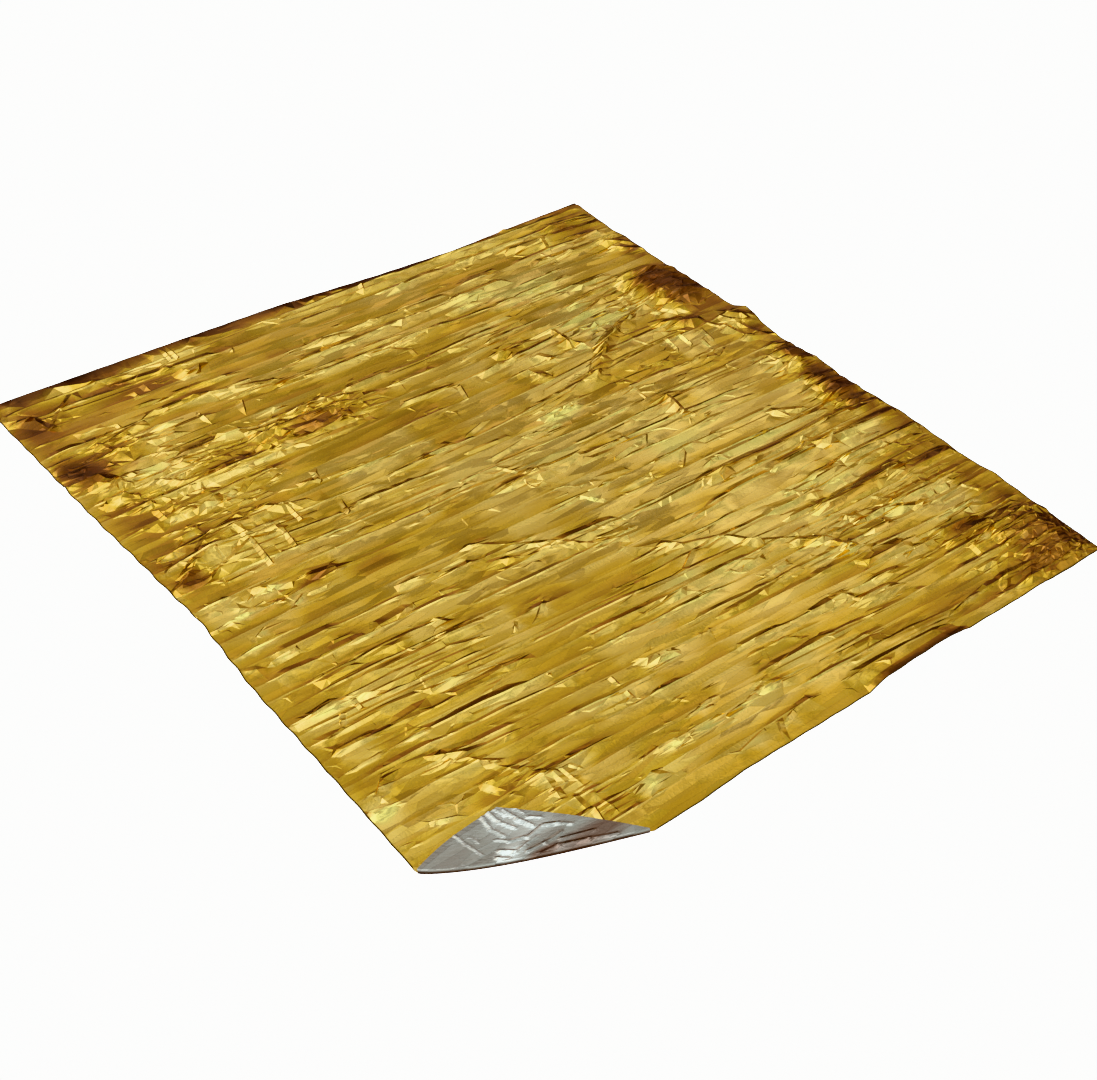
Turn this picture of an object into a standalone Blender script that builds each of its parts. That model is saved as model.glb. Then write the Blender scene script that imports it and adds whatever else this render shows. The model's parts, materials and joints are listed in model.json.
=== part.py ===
"""Emergency foil blanket, laid out on a surface: gold face up, silver back down.

One sheet, one closed solid. It lies in long shallow pleats that run along X, crossed by a few
larger creases, and its front left corner is turned over so that the silver back shows.
Metres, +Z up. The origin is the middle of the sheet's outline, on the surface it lies on.
The sheet is worked out as its silver side, a surface one foil above which lies the gold side.
"""

import math
import random
from collections import namedtuple

import bpy
import numpy as np
from mathutils import Vector
from mathutils.geometry import delaunay_2d_cdt

MM = 0.001

# Driving dimensions, in metres
SHEET_THICKNESS = 0.0012
ROW_SPACING = 0.064  # between the corners along a pleat
FOLD_SPACING = 0.050  # between the corners along a crease
EDGE_SPACING = 0.030
LONGEST_PLEAT_EDGE = 0.100
SETTLE = 0.0022  # what lies lower than this is pressed flat on the surface
NOSE_RADIUS = 0.005  # of the turn where the corner folds over
FLAP_TIP_HEIGHT = 0.0085
FLAP_ROWS = 14
NOSE_STEPS = 4
UNDER_FLAP = 0.0012  # how high the sheet may stand below the turned corner
UNDER_FLAP_SLOPE = 0.55  # and how fast it may rise beside it
UNDER_FLAP_MARGIN = 0.012
FAN_RISE = 0.0030  # of the turned corner's creases, which fan out from its tip
FAN_COUNT = 3.5
FAN_SHIFT = 0.4
FAN_FINE_RISE = 0.0022
FAN_FINE_COUNT = 8

GOLD, GOLD_ROUGHNESS = (0.80, 0.55, 0.10), 0.22
SILVER, SILVER_ROUGHNESS = (0.80, 0.80, 0.81), 0.25

# How close the mesh's corners may lie
SIDE_REACH = 0.86  # rows of corners start and end this far from the middle
EDGE_CLEAR = 0.011  # from the outline
LIP_CLEAR = 0.010
LIP_INSET_LEAST = 12  # millimetres
CREASE_APART = 0.010  # from each other
LIP_APART = 0.018
PLEAT_APART = 0.0085
MERGE_DISTANCE = 1e-5
TINY = 1e-6

# The pleats' own sizes
CREST_STATIONS = (-0.65, 0.0, 0.60)  # where the table gives a crest's place and rise
BACK_PER_RISE = 1.9  # a crest's steep far side is this many times as wide as it is high
BACK_LEAST = 0.004
BACK_MOST_OF_GAP = 0.45
FIRST_GAP = 0.050  # the gap beyond the first pleat, for its far side's width
BEYOND_FRONT = -1.0  # a y in front of the whole sheet
NODE_SPACING = 0.12  # a crest kinks and changes its rise about this often
NODE_SHIFT = 0.35  # a kink is moved along the crest by up to this share of the spacing
CREST_KINK = 0.0035  # sideways, at most
RISE_SPREAD = 0.45  # as a share of the rise, at most
PLEAT_SEED = 11
PLEAT_RISE_SCALE = 1.25  # on the rises in the table
PLEAT_KEEP_AT_CREASE = 0.45  # what is left of a pleat on top of a crease

# Corners of the outline, in metres. The front left corner is the one that is turned over
FAR_LEFT = (-0.824, 0.945)
FAR_RIGHT = (0.810, 0.886)
FRONT_RIGHT = (0.787, -0.891)
TURN_LEFT = (-0.790, -0.748)  # the turned corner's fold starts here, on the left edge
TURN_RIGHT = (-0.4255, -0.914)  # and ends here, on the front edge
TURN_BOW = 0.015  # the fold bows outwards by this much
TURN_BOW_PEAK = 0.36  # at this share of the way from left to right
FLAP_TIP = (-0.603, -0.713)

# Each side of the outline: along is the place on the side's long axis, across is the edge
EdgePoint = namedtuple("EdgePoint", "along across")
LEFT_EDGE = [  # along is y, across is x
    EdgePoint(0.85, -0.822),
    EdgePoint(0.76, -0.817),
    EdgePoint(0.58, -0.811),
    EdgePoint(0.40, -0.803),
    EdgePoint(0.26, -0.794),
    EdgePoint(0.13, -0.788),
    EdgePoint(0.02, -0.781),
    EdgePoint(-0.10, -0.787),
    EdgePoint(-0.20, -0.792),
    EdgePoint(-0.45, -0.790),
]
RIGHT_EDGE = [
    EdgePoint(0.76, 0.807),
    EdgePoint(0.72, 0.803),
    EdgePoint(0.67, 0.809),
    EdgePoint(0.52, 0.803),
    EdgePoint(0.42, 0.808),
    EdgePoint(0.25, 0.808),
    EdgePoint(0.228, 0.834),
    EdgePoint(0.17, 0.819),
    EdgePoint(0.12, 0.808),
    EdgePoint(0.05, 0.803),
    EdgePoint(-0.05, 0.815),
    EdgePoint(-0.13, 0.804),
    EdgePoint(-0.32, 0.813),
    EdgePoint(-0.42, 0.808),
    EdgePoint(-0.52, 0.801),
    EdgePoint(-0.59, 0.808),
    EdgePoint(-0.68, 0.800),
]
FAR_EDGE = [  # along is x, across is y
    EdgePoint(-0.58, 0.939),
    EdgePoint(-0.31, 0.931),
    EdgePoint(-0.08, 0.923),
    EdgePoint(0.05, 0.909),
    EdgePoint(0.19, 0.895),
    EdgePoint(0.41, 0.880),
    EdgePoint(0.59, 0.884),
]
FRONT_EDGE = [
    EdgePoint(-0.31, -0.912),
    EdgePoint(-0.20, -0.904),
    EdgePoint(0.10, -0.902),
    EdgePoint(0.28, -0.896),
    EdgePoint(0.41, -0.892),
    EdgePoint(0.70, -0.894),
]
EDGE_RIPPLE = 0.0022  # the edges draw in and out a little at each pleat
EDGE_RIPPLE_LENGTH = 0.071
RIPPLE_SHARE = 0.4  # of it at the far and front edges

# A row for each pleat, from the far edge to the front one: the y of its crest at the three
# stations and its rise there, all in millimetres
Pleat = namedtuple("Pleat", "y_left y_mid y_right rise_left rise_mid rise_right")
PLEATS = [
    Pleat(884, 876, 846, 3, 5, 7),
    Pleat(836, 823, 809, 7, 4, 7),
    Pleat(784, 782, 770, 2, 2, 8),
    Pleat(737, 725, 729, 5, 7, 6),
    Pleat(687, 680, 682, 5, 4, 8),
    Pleat(652, 639, 639, 4, 2, 3),
    Pleat(619, 608, 596, 5, 7, 6),
    Pleat(562, 559, 559, 4, 3, 6),
    Pleat(520, 514, 524, 4, 7, 3),
    Pleat(474, 466, 494, 7, 8, 6),
    Pleat(414, 421, 434, 7, 6, 6),
    Pleat(354, 380, 394, 5, 6, 3),
    Pleat(297, 318, 339, 3, 2, 3),
    Pleat(244, 251, 276, 4, 5, 3),
    Pleat(202, 190, 229, 3, 5, 5),
    Pleat(148, 139, 132, 3, 6, 5),
    Pleat(109, 84, 66, 3, 5, 3),
    Pleat(56, 39, 34, 4, 3, 6),
    Pleat(-16, -2, -28, 5, 6, 6),
    Pleat(-56, -61, -76, 4, 3, 3),
    Pleat(-104, -111, -122, 5, 6, 7),
    Pleat(-143, -166, -178, 6, 3, 6),
    Pleat(-204, -212, -232, 6, 5, 10),
    Pleat(-248, -262, -262, 5, 2, 3),
    Pleat(-283, -304, -293, 4, 2, 9),
    Pleat(-322, -350, -360, 6, 3, 10),
    Pleat(-358, -394, -398, 5, 3, 8),
    Pleat(-390, -428, -456, 5, 3, 9),
    Pleat(-437, -470, -488, 9, 6, 6),
    Pleat(-480, -510, -534, 5, 6, 6),
    Pleat(-511, -553, -578, 4, 6, 7),
    Pleat(-551, -589, -619, 6, 6, 6),
    Pleat(-594, -628, -666, 4, 4, 5),
    Pleat(-646, -663, -694, 4, 7, 6),
    Pleat(-696, -696, -720, 3, 8, 6),
    Pleat(-731, -735, -768, 2, 8, 5),
    Pleat(-776, -773, -802, 2, 5, 4),
    Pleat(-816, -807, -838, 2, 6, 5),
    Pleat(-856, -842, -868, 2, 7, 4),
]

# A row for each stretch of a crease, all in millimetres. A rise below 0 is a trough, and the
# reach is how far each of its two sides runs out
Crease = namedtuple("Crease", "x_start y_start x_end y_end rise reach")
CREASES = [
    # the V at the far left corner
    Crease(-812, 842, -734, 765, -6, 24),
    Crease(-734, 765, -650, 869, 7, 26),
    # a long arched ridge near the far left
    Crease(-678, 652, -541, 698, 9, 26),
    Crease(-541, 698, -457, 694, 12, 30),
    Crease(-457, 694, -283, 646, 11, 28),
    Crease(-283, 646, -15, 612, 5, 24),
    # short steep folds at the left edge
    Crease(-802, 557, -688, 500, 10, 22),
    Crease(-688, 500, -583, 621, 8, 24),
    # the crumple right of them
    Crease(-398, 485, -162, 468, 9, 20),
    Crease(-403, 427, -162, 441, 9, 20),
    Crease(-398, 554, -361, 506, -5, 18),
    # the high chevron on the left
    Crease(-776, 120, -640, 214, 14, 38),
    Crease(-640, 214, -562, 239, 16, 38),
    Crease(-562, 239, -488, 235, 14, 36),
    Crease(-488, 235, -388, 196, 10, 32),
    Crease(-388, 196, -277, 178, 6, 26),
    # ticks across it
    Crease(-583, 198, -577, 96, 5, 14),
    Crease(-520, 184, -510, 100, 5, 14),
    # the long diagonal, from the middle down to the right
    Crease(-403, -129, -277, -155, 6, 20),
    Crease(-277, -155, -203, -187, 8, 22),
    Crease(-203, -187, -98, -225, 10, 24),
    Crease(-98, -225, -10, -282, 10, 24),
    Crease(-10, -282, 95, -366, 9, 24),
    Crease(95, -366, 197, -404, 8, 22),
    Crease(197, -404, 254, -473, 11, 24),
    Crease(254, -473, 328, -520, 11, 24),
    Crease(328, -520, 400, -592, 12, 24),
    Crease(400, -592, 469, -642, 9, 26),
    # the tented wrinkle on the right
    Crease(355, 200, 400, 245, 8, 20),
    Crease(400, 245, 457, 301, 12, 24),
    Crease(457, 301, 547, 335, 12, 26),
    Crease(547, 335, 626, 369, 9, 26),
    # the arcs above it
    Crease(400, 416, 491, 434, 7, 22),
    Crease(491, 434, 581, 460, 8, 22),
    Crease(485, 473, 559, 495, 7, 20),
    Crease(559, 495, 693, 501, 7, 20),
    Crease(377, 416, 377, 349, 6, 16),
    Crease(377, 349, 405, 316, 6, 16),
    Crease(236, 334, 248, 274, -6, 18),
    # the smooth three-sided panel beside the right edge
    Crease(428, 139, 620, 167, 6, 24),
    Crease(428, 139, 620, 111, 5, 24),
    # a short steep tick below it
    Crease(422, 48, 412, -26, 9, 17),
    Crease(456, 53, 502, 46, -7, 17),
    # a broad low ridge across the left half
    Crease(-535, 57, -15, 57, 5, 42),
    # a kink in the right-hand pleats
    Crease(580, -273, 620, -311, -6, 18),
    Crease(444, -428, 458, -390, 6, 16),
    Crease(444, -516, 518, -543, -5, 16),
    # what runs out from behind the turned corner
    Crease(-636, -540, -583, -568, 7, 18),
    Crease(-583, -568, -520, -663, 8, 20),
    Crease(-520, -663, -468, -705, 7, 18),
    Crease(-455, -706, -448, -764, 8, 16),
    Crease(-448, -764, -438, -842, 7, 16),
    # the rumpled front right corner
    Crease(560, -656, 640, -702, 8, 28),
    Crease(524, -866, 581, -794, 8, 24),
    Crease(640, -742, 760, -800, 9, 30),
]

# Broad low swells, in millimetres: the middle, the half widths and the rise
Swell = namedtuple("Swell", "x y half_x half_y rise")
SWELLS = [
    Swell(-560, 470, 260, 170, 7),
    Swell(-600, 180, 240, 120, 8),
    Swell(-280, 450, 170, 90, 5),
    Swell(450, 330, 330, 220, 8),
    Swell(480, 20, 260, 140, 5),
    Swell(120, -420, 300, 160, 4),
    Swell(620, -400, 210, 260, 5),
    Swell(660, -760, 190, 150, 8),
    Swell(-540, -350, 220, 200, 4),
    Swell(250, -830, 160, 110, 6),
    Swell(-740, 860, 160, 120, 5),
    Swell(640, 800, 230, 120, 6),
]

# Where a strip beside an edge stands up and then turns down, in millimetres: the stretch of
# the side, how high, how far inside the edge the top of it runs, and how wide it is
Lip = namedtuple("Lip", "side start end rise inset reach")
LIPS = [
    Lip("far", -830, 830, 9, 24, 30),
    Lip("far", -420, 120, 4, 22, 30),
    Lip("right", 300, 520, 20, 62, 60),
    Lip("right", 150, 240, 12, 40, 44),
    Lip("right", -60, 50, 17, 46, 46),
    Lip("right", -210, -90, 14, 44, 44),
    Lip("right", -900, -690, 15, 60, 56),
    Lip("right", 620, 700, 11, 36, 40),
    Lip("front", 120, 380, 12, 4, 40),
    Lip("front", 540, 790, 6, 16, 30),
    Lip("left", 820, 900, 7, 16, 24),
]
LIP_EASE = 0.050  # a lip rises over this length at each of its ends

# Where the sheet lies dead flat on the surface, in millimetres
FlatPatch = namedtuple("FlatPatch", "x y half_x half_y")
FLAT_PATCHES = [
    FlatPatch(-100, -330, 95, 40),
    FlatPatch(-240, 352, 150, 20),
    FlatPatch(-390, -36, 80, 16),
    FlatPatch(370, -783, 120, 12),
    FlatPatch(-700, -620, 50, 16),
    FlatPatch(640, 580, 60, 14),
]
PATCH_EASE = 0.028


def edge_points(first, table, last, spacing, swap):
    """Points from one corner to the next along a side, the last corner left out."""
    rows = [first] + [(row.across, row.along) if swap else tuple(row) for row in table] + [last]
    rows = np.array(rows)
    steps = np.linalg.norm(np.diff(rows, axis=0), axis=1)
    reached = np.concatenate([[0.0], np.cumsum(steps)])
    count = max(2, round(reached[-1] / spacing))
    stops = np.arange(count) / count * reached[-1]
    x = np.interp(stops, reached, rows[:, 0])
    y = np.interp(stops, reached, rows[:, 1])
    fade = np.sin(np.pi * stops / reached[-1]) ** 0.5
    ripple = EDGE_RIPPLE * np.sin(2 * np.pi * stops / EDGE_RIPPLE_LENGTH) * fade
    if swap:
        return np.column_stack([x + ripple, y])
    return np.column_stack([x, y + RIPPLE_SHARE * ripple])


def turn_line(count):
    """Points along the fold of the turned corner, and the outward direction."""
    start, end = np.array(TURN_LEFT), np.array(TURN_RIGHT)
    along = end - start
    outward = np.array([along[1], -along[0]]) / np.linalg.norm(along)
    share = np.linspace(0, 1, count + 1)
    power = math.log(0.5) / math.log(TURN_BOW_PEAK)
    bow = TURN_BOW * np.sin(np.pi * share**power)
    line = start + share[:, None] * along + bow[:, None] * outward
    return line - NOSE_RADIUS * outward, outward


def outline(spacing, turn_steps):
    """The outline as a closed loop, and the slice of it that is the turned corner's fold."""
    left = edge_points(FAR_LEFT, LEFT_EDGE, TURN_LEFT, spacing, True)
    turn, _ = turn_line(turn_steps)
    front = edge_points(TURN_RIGHT, FRONT_EDGE, FRONT_RIGHT, spacing, False)
    right = edge_points(FRONT_RIGHT, RIGHT_EDGE[::-1], FAR_RIGHT, spacing, True)
    far = edge_points(FAR_RIGHT, FAR_EDGE[::-1], FAR_LEFT, spacing, False)
    loop = np.concatenate([left, turn, front[1:], right, far])
    return loop, slice(len(left), len(left) + turn_steps + 1)


def outline_middle():
    """The middle of the sheet's box, seen from above."""
    loop, _ = outline(EDGE_SPACING, FLAP_ROWS)
    reach = np.vstack([loop, TURN_LEFT, TURN_RIGHT])
    return (reach.min(axis=0) + reach.max(axis=0)) / 2


def edge_at(place, first, table, last, swap):
    """Where a side's edge lies, across the side, at these places along it."""
    ends = [first[::-1], last[::-1]] if swap else [first, last]
    along, across = zip(*sorted([tuple(row) for row in table] + ends))
    return np.interp(place, along, across)


def inside_edge(side, x, y):
    """How far inside the named side each point lies, and its place along the side."""
    if side == "far":
        return edge_at(x, FAR_LEFT, FAR_EDGE, FAR_RIGHT, False) - y, x
    if side == "front":
        return y - edge_at(x, TURN_RIGHT, FRONT_EDGE, FRONT_RIGHT, False), x
    if side == "right":
        return edge_at(y, FRONT_RIGHT, RIGHT_EDGE, FAR_RIGHT, True) - x, y
    return x - edge_at(y, TURN_LEFT, LEFT_EDGE, FAR_LEFT, True), y


def pleat_lines(x):
    """For each pleat at each x: its crest's y, its rise and the width of its steep far side."""
    draw = random.Random(PLEAT_SEED)
    crests, rises = [], []
    nodes = np.arange(-1.0, 1.0 + NODE_SPACING, NODE_SPACING)
    for row in PLEATS:
        y_rows = [row.y_left * MM, row.y_mid * MM, row.y_right * MM]
        rise_rows = [row.rise_left * MM, row.rise_mid * MM, row.rise_right * MM]
        crest = np.interp(x, CREST_STATIONS, y_rows)
        rise = np.interp(x, CREST_STATIONS, rise_rows)
        places = nodes + [draw.uniform(-NODE_SHIFT, NODE_SHIFT) * NODE_SPACING for _ in nodes]
        kinks = [draw.uniform(-CREST_KINK, CREST_KINK) for _ in nodes]
        factors = [1 + draw.uniform(-RISE_SPREAD, RISE_SPREAD) for _ in nodes]
        crests.append(crest + np.interp(x, places, kinks))
        rises.append(rise * PLEAT_RISE_SCALE * np.interp(x, places, factors))
    crests, rises = np.array(crests), np.array(rises)
    gaps = np.vstack([np.full(x.shape, FIRST_GAP), crests[:-1] - crests[1:]])
    backs = np.minimum(BACK_LEAST + BACK_PER_RISE * rises, BACK_MOST_OF_GAP * gaps)
    return crests, rises, backs


def pleat_height(x, y):
    """A gentle rise to each crest from the near side and a short steep drop behind it."""
    crests, rises, backs = pleat_lines(x)
    far = edge_at(x, FAR_LEFT, FAR_EDGE, FAR_RIGHT, False)
    near = np.full(x.shape, BEYOND_FRONT)
    still = np.zeros((1, len(x)))
    crests = np.vstack([far, crests, near])
    rises = np.vstack([still, rises, still])
    backs = np.vstack([still, backs, still])
    above = (crests > y).sum(axis=0).clip(1, len(crests) - 1)
    column = np.arange(len(x))
    low, back, low_rise = crests[above, column], backs[above, column], rises[above, column]
    high, high_rise = crests[above - 1, column], rises[above - 1, column]
    past = y - low
    drop = low_rise * (1 - past / np.maximum(back, TINY))
    climb = high_rise * (past - back) / np.maximum(high - low - back, TINY)
    return np.where(past < back, drop, climb.clip(0, None))


def crease_height(x, y):
    """Ridges and troughs with straight sides, and how strongly a crease holds each point."""
    ridge, trough, hold = np.zeros(x.shape), np.zeros(x.shape), np.zeros(x.shape)
    for row in CREASES:
        start = np.array([row.x_start, row.y_start]) * MM
        along = np.array([row.x_end, row.y_end]) * MM - start
        share = ((x - start[0]) * along[0] + (y - start[1]) * along[1]) / (along @ along)
        share = share.clip(0, 1)
        away = np.hypot(x - start[0] - share * along[0], y - start[1] - share * along[1])
        tent = (1 - away / (row.reach * MM)).clip(0, 1)
        hold = np.maximum(hold, tent)
        if row.rise > 0:
            ridge = np.maximum(ridge, row.rise * MM * tent)
        else:
            trough = np.minimum(trough, row.rise * MM * tent)
    return ridge + trough, hold


def swell_height(x, y):
    total = np.zeros(x.shape)
    for row in SWELLS:
        away = np.hypot((x - row.x * MM) / (row.half_x * MM), (y - row.y * MM) / (row.half_y * MM))
        total += row.rise * MM * (0.5 + 0.5 * np.cos(np.pi * away.clip(0, 1)))
    return total


def lip_height(x, y):
    total = np.zeros(x.shape)
    for row in LIPS:
        inside, place = inside_edge(row.side, x, y)
        tent = (1 - np.abs(inside - row.inset * MM) / (row.reach * MM)).clip(0, 1)
        ease = np.minimum(place - row.start * MM, row.end * MM - place) / LIP_EASE
        total = np.maximum(total, row.rise * MM * tent * ease.clip(0, 1))
    return total


def pressed(x, y):
    """0 on the patches that lie flat, 1 well away from them."""
    free = np.ones(x.shape)
    for row in FLAT_PATCHES:
        out_x = (np.abs(x - row.x * MM) - row.half_x * MM).clip(0, None)
        out_y = (np.abs(y - row.y * MM) - row.half_y * MM).clip(0, None)
        free = np.minimum(free, (np.hypot(out_x, out_y) / PATCH_EASE).clip(0, 1))
    return free


def side_of(x, y, start, end):
    """Distance from the line through two points, more than 0 on its right-hand side."""
    along = np.array(end) - np.array(start)
    along = along / np.linalg.norm(along)
    return (x - start[0]) * along[1] - (y - start[1]) * along[0]


def ceiling_under_flap(x, y):
    """How high the sheet may stand: it stays low under the turned corner."""
    beyond_left = side_of(x, y, FLAP_TIP, TURN_LEFT)
    beyond_right = side_of(x, y, TURN_RIGHT, FLAP_TIP)
    outside = np.maximum(beyond_left, beyond_right).clip(0, None)
    return UNDER_FLAP + UNDER_FLAP_SLOPE * (outside - UNDER_FLAP_MARGIN).clip(0, None)


def sheet_height(x, y):
    """The height of the sheet's silver side above the surface it lies on."""
    creases, hold = crease_height(x, y)
    pleats = pleat_height(x, y) * (1 - (1 - PLEAT_KEEP_AT_CREASE) * hold)
    height = pleats + creases + swell_height(x, y) + lip_height(x, y) - SETTLE
    return np.minimum(height * pressed(x, y), ceiling_under_flap(x, y)).clip(0, None)


def inside_loop(points, loop, margin):
    """Which points lie inside the loop and at least the margin from it."""
    x, y = points[:, 0], points[:, 1]
    inside = np.zeros(len(points), bool)
    near = np.full(len(points), np.inf)
    for (x0, y0), (x1, y1) in zip(loop, np.roll(loop, -1, axis=0)):
        crosses = (y0 > y) != (y1 > y)
        at = x0 + (y - y0) * (x1 - x0) / (y1 - y0 if y1 != y0 else 1.0)
        inside ^= crosses & (x < at)
        length = (x1 - x0) ** 2 + (y1 - y0) ** 2
        share = (((x - x0) * (x1 - x0) + (y - y0) * (y1 - y0)) / length).clip(0, 1)
        near = np.minimum(near, np.hypot(x - x0 - share * (x1 - x0), y - y0 - share * (y1 - y0)))
    return inside & (near > margin)


def pleat_corners(loop):
    """Rows of corners along each crest and along the foot behind it, as runs of points."""
    runs = []
    for turn in range(len(PLEATS)):
        offset = ROW_SPACING * (0.25 if turn % 2 else 0.75)
        x = np.arange(-SIDE_REACH, SIDE_REACH, ROW_SPACING) + offset
        crests, _, _ = pleat_lines(x)
        crest = np.column_stack([x, crests[turn]])
        foot_x = x + 0.5 * ROW_SPACING
        crests, _, backs = pleat_lines(foot_x)
        foot = np.column_stack([foot_x, crests[turn] + backs[turn]])
        runs += [crest, foot]
    return [run[inside_loop(run, loop, EDGE_CLEAR)] for run in runs]


def crease_corners(loop):
    """Corners along the top of each crease stretch."""
    runs = []
    for row in CREASES:
        start = np.array([row.x_start, row.y_start]) * MM
        end = np.array([row.x_end, row.y_end]) * MM
        steps = max(1, round(np.linalg.norm(end - start) / FOLD_SPACING))
        run = start + np.linspace(0, 1, steps + 1)[:, None] * (end - start)
        runs.append(run[inside_loop(run, loop, EDGE_CLEAR)])
    return runs


def lip_corners(loop):
    """Corners along the top of each lip that stands well inside its edge."""
    runs = []
    for row in LIPS:
        place = np.arange(row.start * MM, row.end * MM, FOLD_SPACING)
        still = np.zeros(place.shape)
        inset = max(row.inset, LIP_INSET_LEAST) * MM
        if row.side in ("far", "front"):
            inside, _ = inside_edge(row.side, place, still)
            sign = 1 if row.side == "far" else -1
            run = np.column_stack([place, sign * (inside - inset)])
        else:
            inside, _ = inside_edge(row.side, still, place)
            sign = 1 if row.side == "right" else -1
            run = np.column_stack([sign * (inside - inset), place])
        runs.append(run[inside_loop(run, loop, LIP_CLEAR)])
    return runs


def thinned(runs, kept, least):
    """The runs without the corners that crowd an earlier one."""
    result = []
    for run in runs:
        stays = []
        for point in run:
            if np.hypot(*(kept - point).T).min() > least:
                stays.append(point)
                kept = np.vstack([kept, point])
        result.append(np.array(stays).reshape(-1, 2))
    return result, kept


def flat_mesh():
    """The laid sheet seen from above: corners, triangles and the corners along the turned fold."""
    loop, fold = outline(EDGE_SPACING, FLAP_ROWS)
    creases, kept = thinned(crease_corners(loop), loop, CREASE_APART)
    lips, kept = thinned(lip_corners(loop), kept, LIP_APART)
    pleats, _ = thinned(pleat_corners(loop), kept, PLEAT_APART)
    points, edges = list(loop), [(i, (i + 1) % len(loop)) for i in range(len(loop))]
    for run in creases + lips:
        points += list(run)
    for run in pleats:
        first = len(points)
        points += list(run)
        steps = np.hypot(*np.diff(run, axis=0).T) if len(run) > 1 else []
        for i, step in enumerate(steps):
            if step < LONGEST_PLEAT_EDGE:
                edges.append((first + i, first + i + 1))
    result = delaunay_2d_cdt([Vector(p) for p in points], edges, [], 1, MERGE_DISTANCE)
    corners = np.array([tuple(v) for v in result[0]])
    triangles = [tuple(face) for face in result[2]]
    ids = [int(np.argmin(np.hypot(*(corners - p).T))) for p in loop[fold]]
    return corners, triangles, ids


def point_along(line, share):
    """The point at this share of the way along a line of evenly numbered points."""
    stop = share * (len(line) - 1)
    return np.array([np.interp(stop, range(len(line)), line[:, axis]) for axis in (0, 1)])


def add_turned_corner(silver, gold, triangles, fold_ids):
    """Carries the sheet round the fold and over itself, narrowing to the flap's tip."""
    line, outward = turn_line(FLAP_ROWS)
    rows = [list(fold_ids)]
    inner = NOSE_RADIUS - SHEET_THICKNESS
    for step in range(1, NOSE_STEPS + 1):
        angle = math.pi * (step / NOSE_STEPS - 0.5)
        ids = []
        for point in line:
            for side, radius in ((silver, NOSE_RADIUS), (gold, inner)):
                place = point + radius * math.cos(angle) * outward
                side.append((*place, NOSE_RADIUS + radius * math.sin(angle)))
            ids.append(len(silver) - 1)
        rows.append(ids)
    tip = np.array(FLAP_TIP)
    for row in range(1, FLAP_ROWS + 1):
        share, count, ids = row / FLAP_ROWS, FLAP_ROWS - row, []
        for i in range(count + 1):
            along = i / count if count else 0.5
            base = point_along(line, along)
            place = base + share * (tip - base)
            height = flap_height(along, share)
            silver.append((*place, height))
            gold.append((*place, height - SHEET_THICKNESS))
            ids.append(len(silver) - 1)
        rows.append(ids)
    for near, far in zip(rows, rows[1:]):
        for i in range(len(near) - 1):
            triangles.append((near[i + 1], near[i], far[i]))
            if i + 1 < len(far):
                triangles.append((near[i + 1], far[i], far[i + 1]))


def flap_height(along, share):
    """The silver side's height on the turned corner: creases fan out from its tip."""
    level = 2 * NOSE_RADIUS + share * (FLAP_TIP_HEIGHT - 2 * NOSE_RADIUS)
    fan = FAN_RISE * abs(math.sin(math.pi * FAN_COUNT * along + FAN_SHIFT))
    fan += FAN_FINE_RISE * abs(math.sin(math.pi * FAN_FINE_COUNT * along))
    return level + fan * math.sin(math.pi * share) ** 0.7


def material(name, colour, roughness):
    made = bpy.data.materials.new(name)
    made.use_nodes = True
    shader = made.node_tree.nodes["Principled BSDF"]
    shader.inputs["Base Color"].default_value = (*colour, 1.0)
    shader.inputs["Metallic"].default_value = 1.0
    shader.inputs["Roughness"].default_value = roughness
    made.diffuse_color = (*colour, 1.0)
    return made


def foil_sheet():
    corners, triangles, fold_ids = flat_mesh()
    height = sheet_height(corners[:, 0], corners[:, 1])
    height[fold_ids] = 0.0
    silver = [(x, y, z) for (x, y), z in zip(corners, height)]
    gold = [(x, y, z + SHEET_THICKNESS) for x, y, z in silver]
    add_turned_corner(silver, gold, triangles, fold_ids)
    count = len(silver)
    used = {}
    for triangle in triangles:
        for edge in zip(triangle, triangle[1:] + triangle[:1]):
            used[edge] = True
    rim = [edge for edge in used if edge[::-1] not in used]
    faces = [tuple(i + count for i in triangle) for triangle in triangles]
    faces += [triangle[::-1] for triangle in triangles]
    faces += [(b + count, a + count, a, b) for a, b in rim]
    points = np.array(silver + gold)
    points[:, :2] -= outline_middle()
    mesh = bpy.data.meshes.new("foil_sheet")
    mesh.from_pydata(points.tolist(), [], faces)
    mesh.materials.append(material("gold_foil", GOLD, GOLD_ROUGHNESS))
    mesh.materials.append(material("silver_foil", SILVER, SILVER_ROUGHNESS))
    for polygon in mesh.polygons:
        polygon.material_index = int(polygon.index >= len(triangles))
    mesh.validate()
    sheet = bpy.data.objects.new("foil_sheet", mesh)
    bpy.context.scene.collection.objects.link(sheet)
    return sheet


def main():
    for obj in list(bpy.data.objects):
        bpy.data.objects.remove(obj, do_unlink=True)
    foil_sheet()


main()
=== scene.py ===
"""Looks of the emergency foil blanket: a thin metallised sheet, gold above and silver below.

One closed sheet with its folds as real shape: the long pleats and creases of the solid, and on
them the short pleats, ticks and crumple of thin foil. Metres, +Z up, in the frame of the solid.
"""

import json
import math
import random
from collections import namedtuple

import bpy
import numpy as np
from mathutils import Euler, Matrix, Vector
from mathutils.geometry import delaunay_2d_cdt

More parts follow.
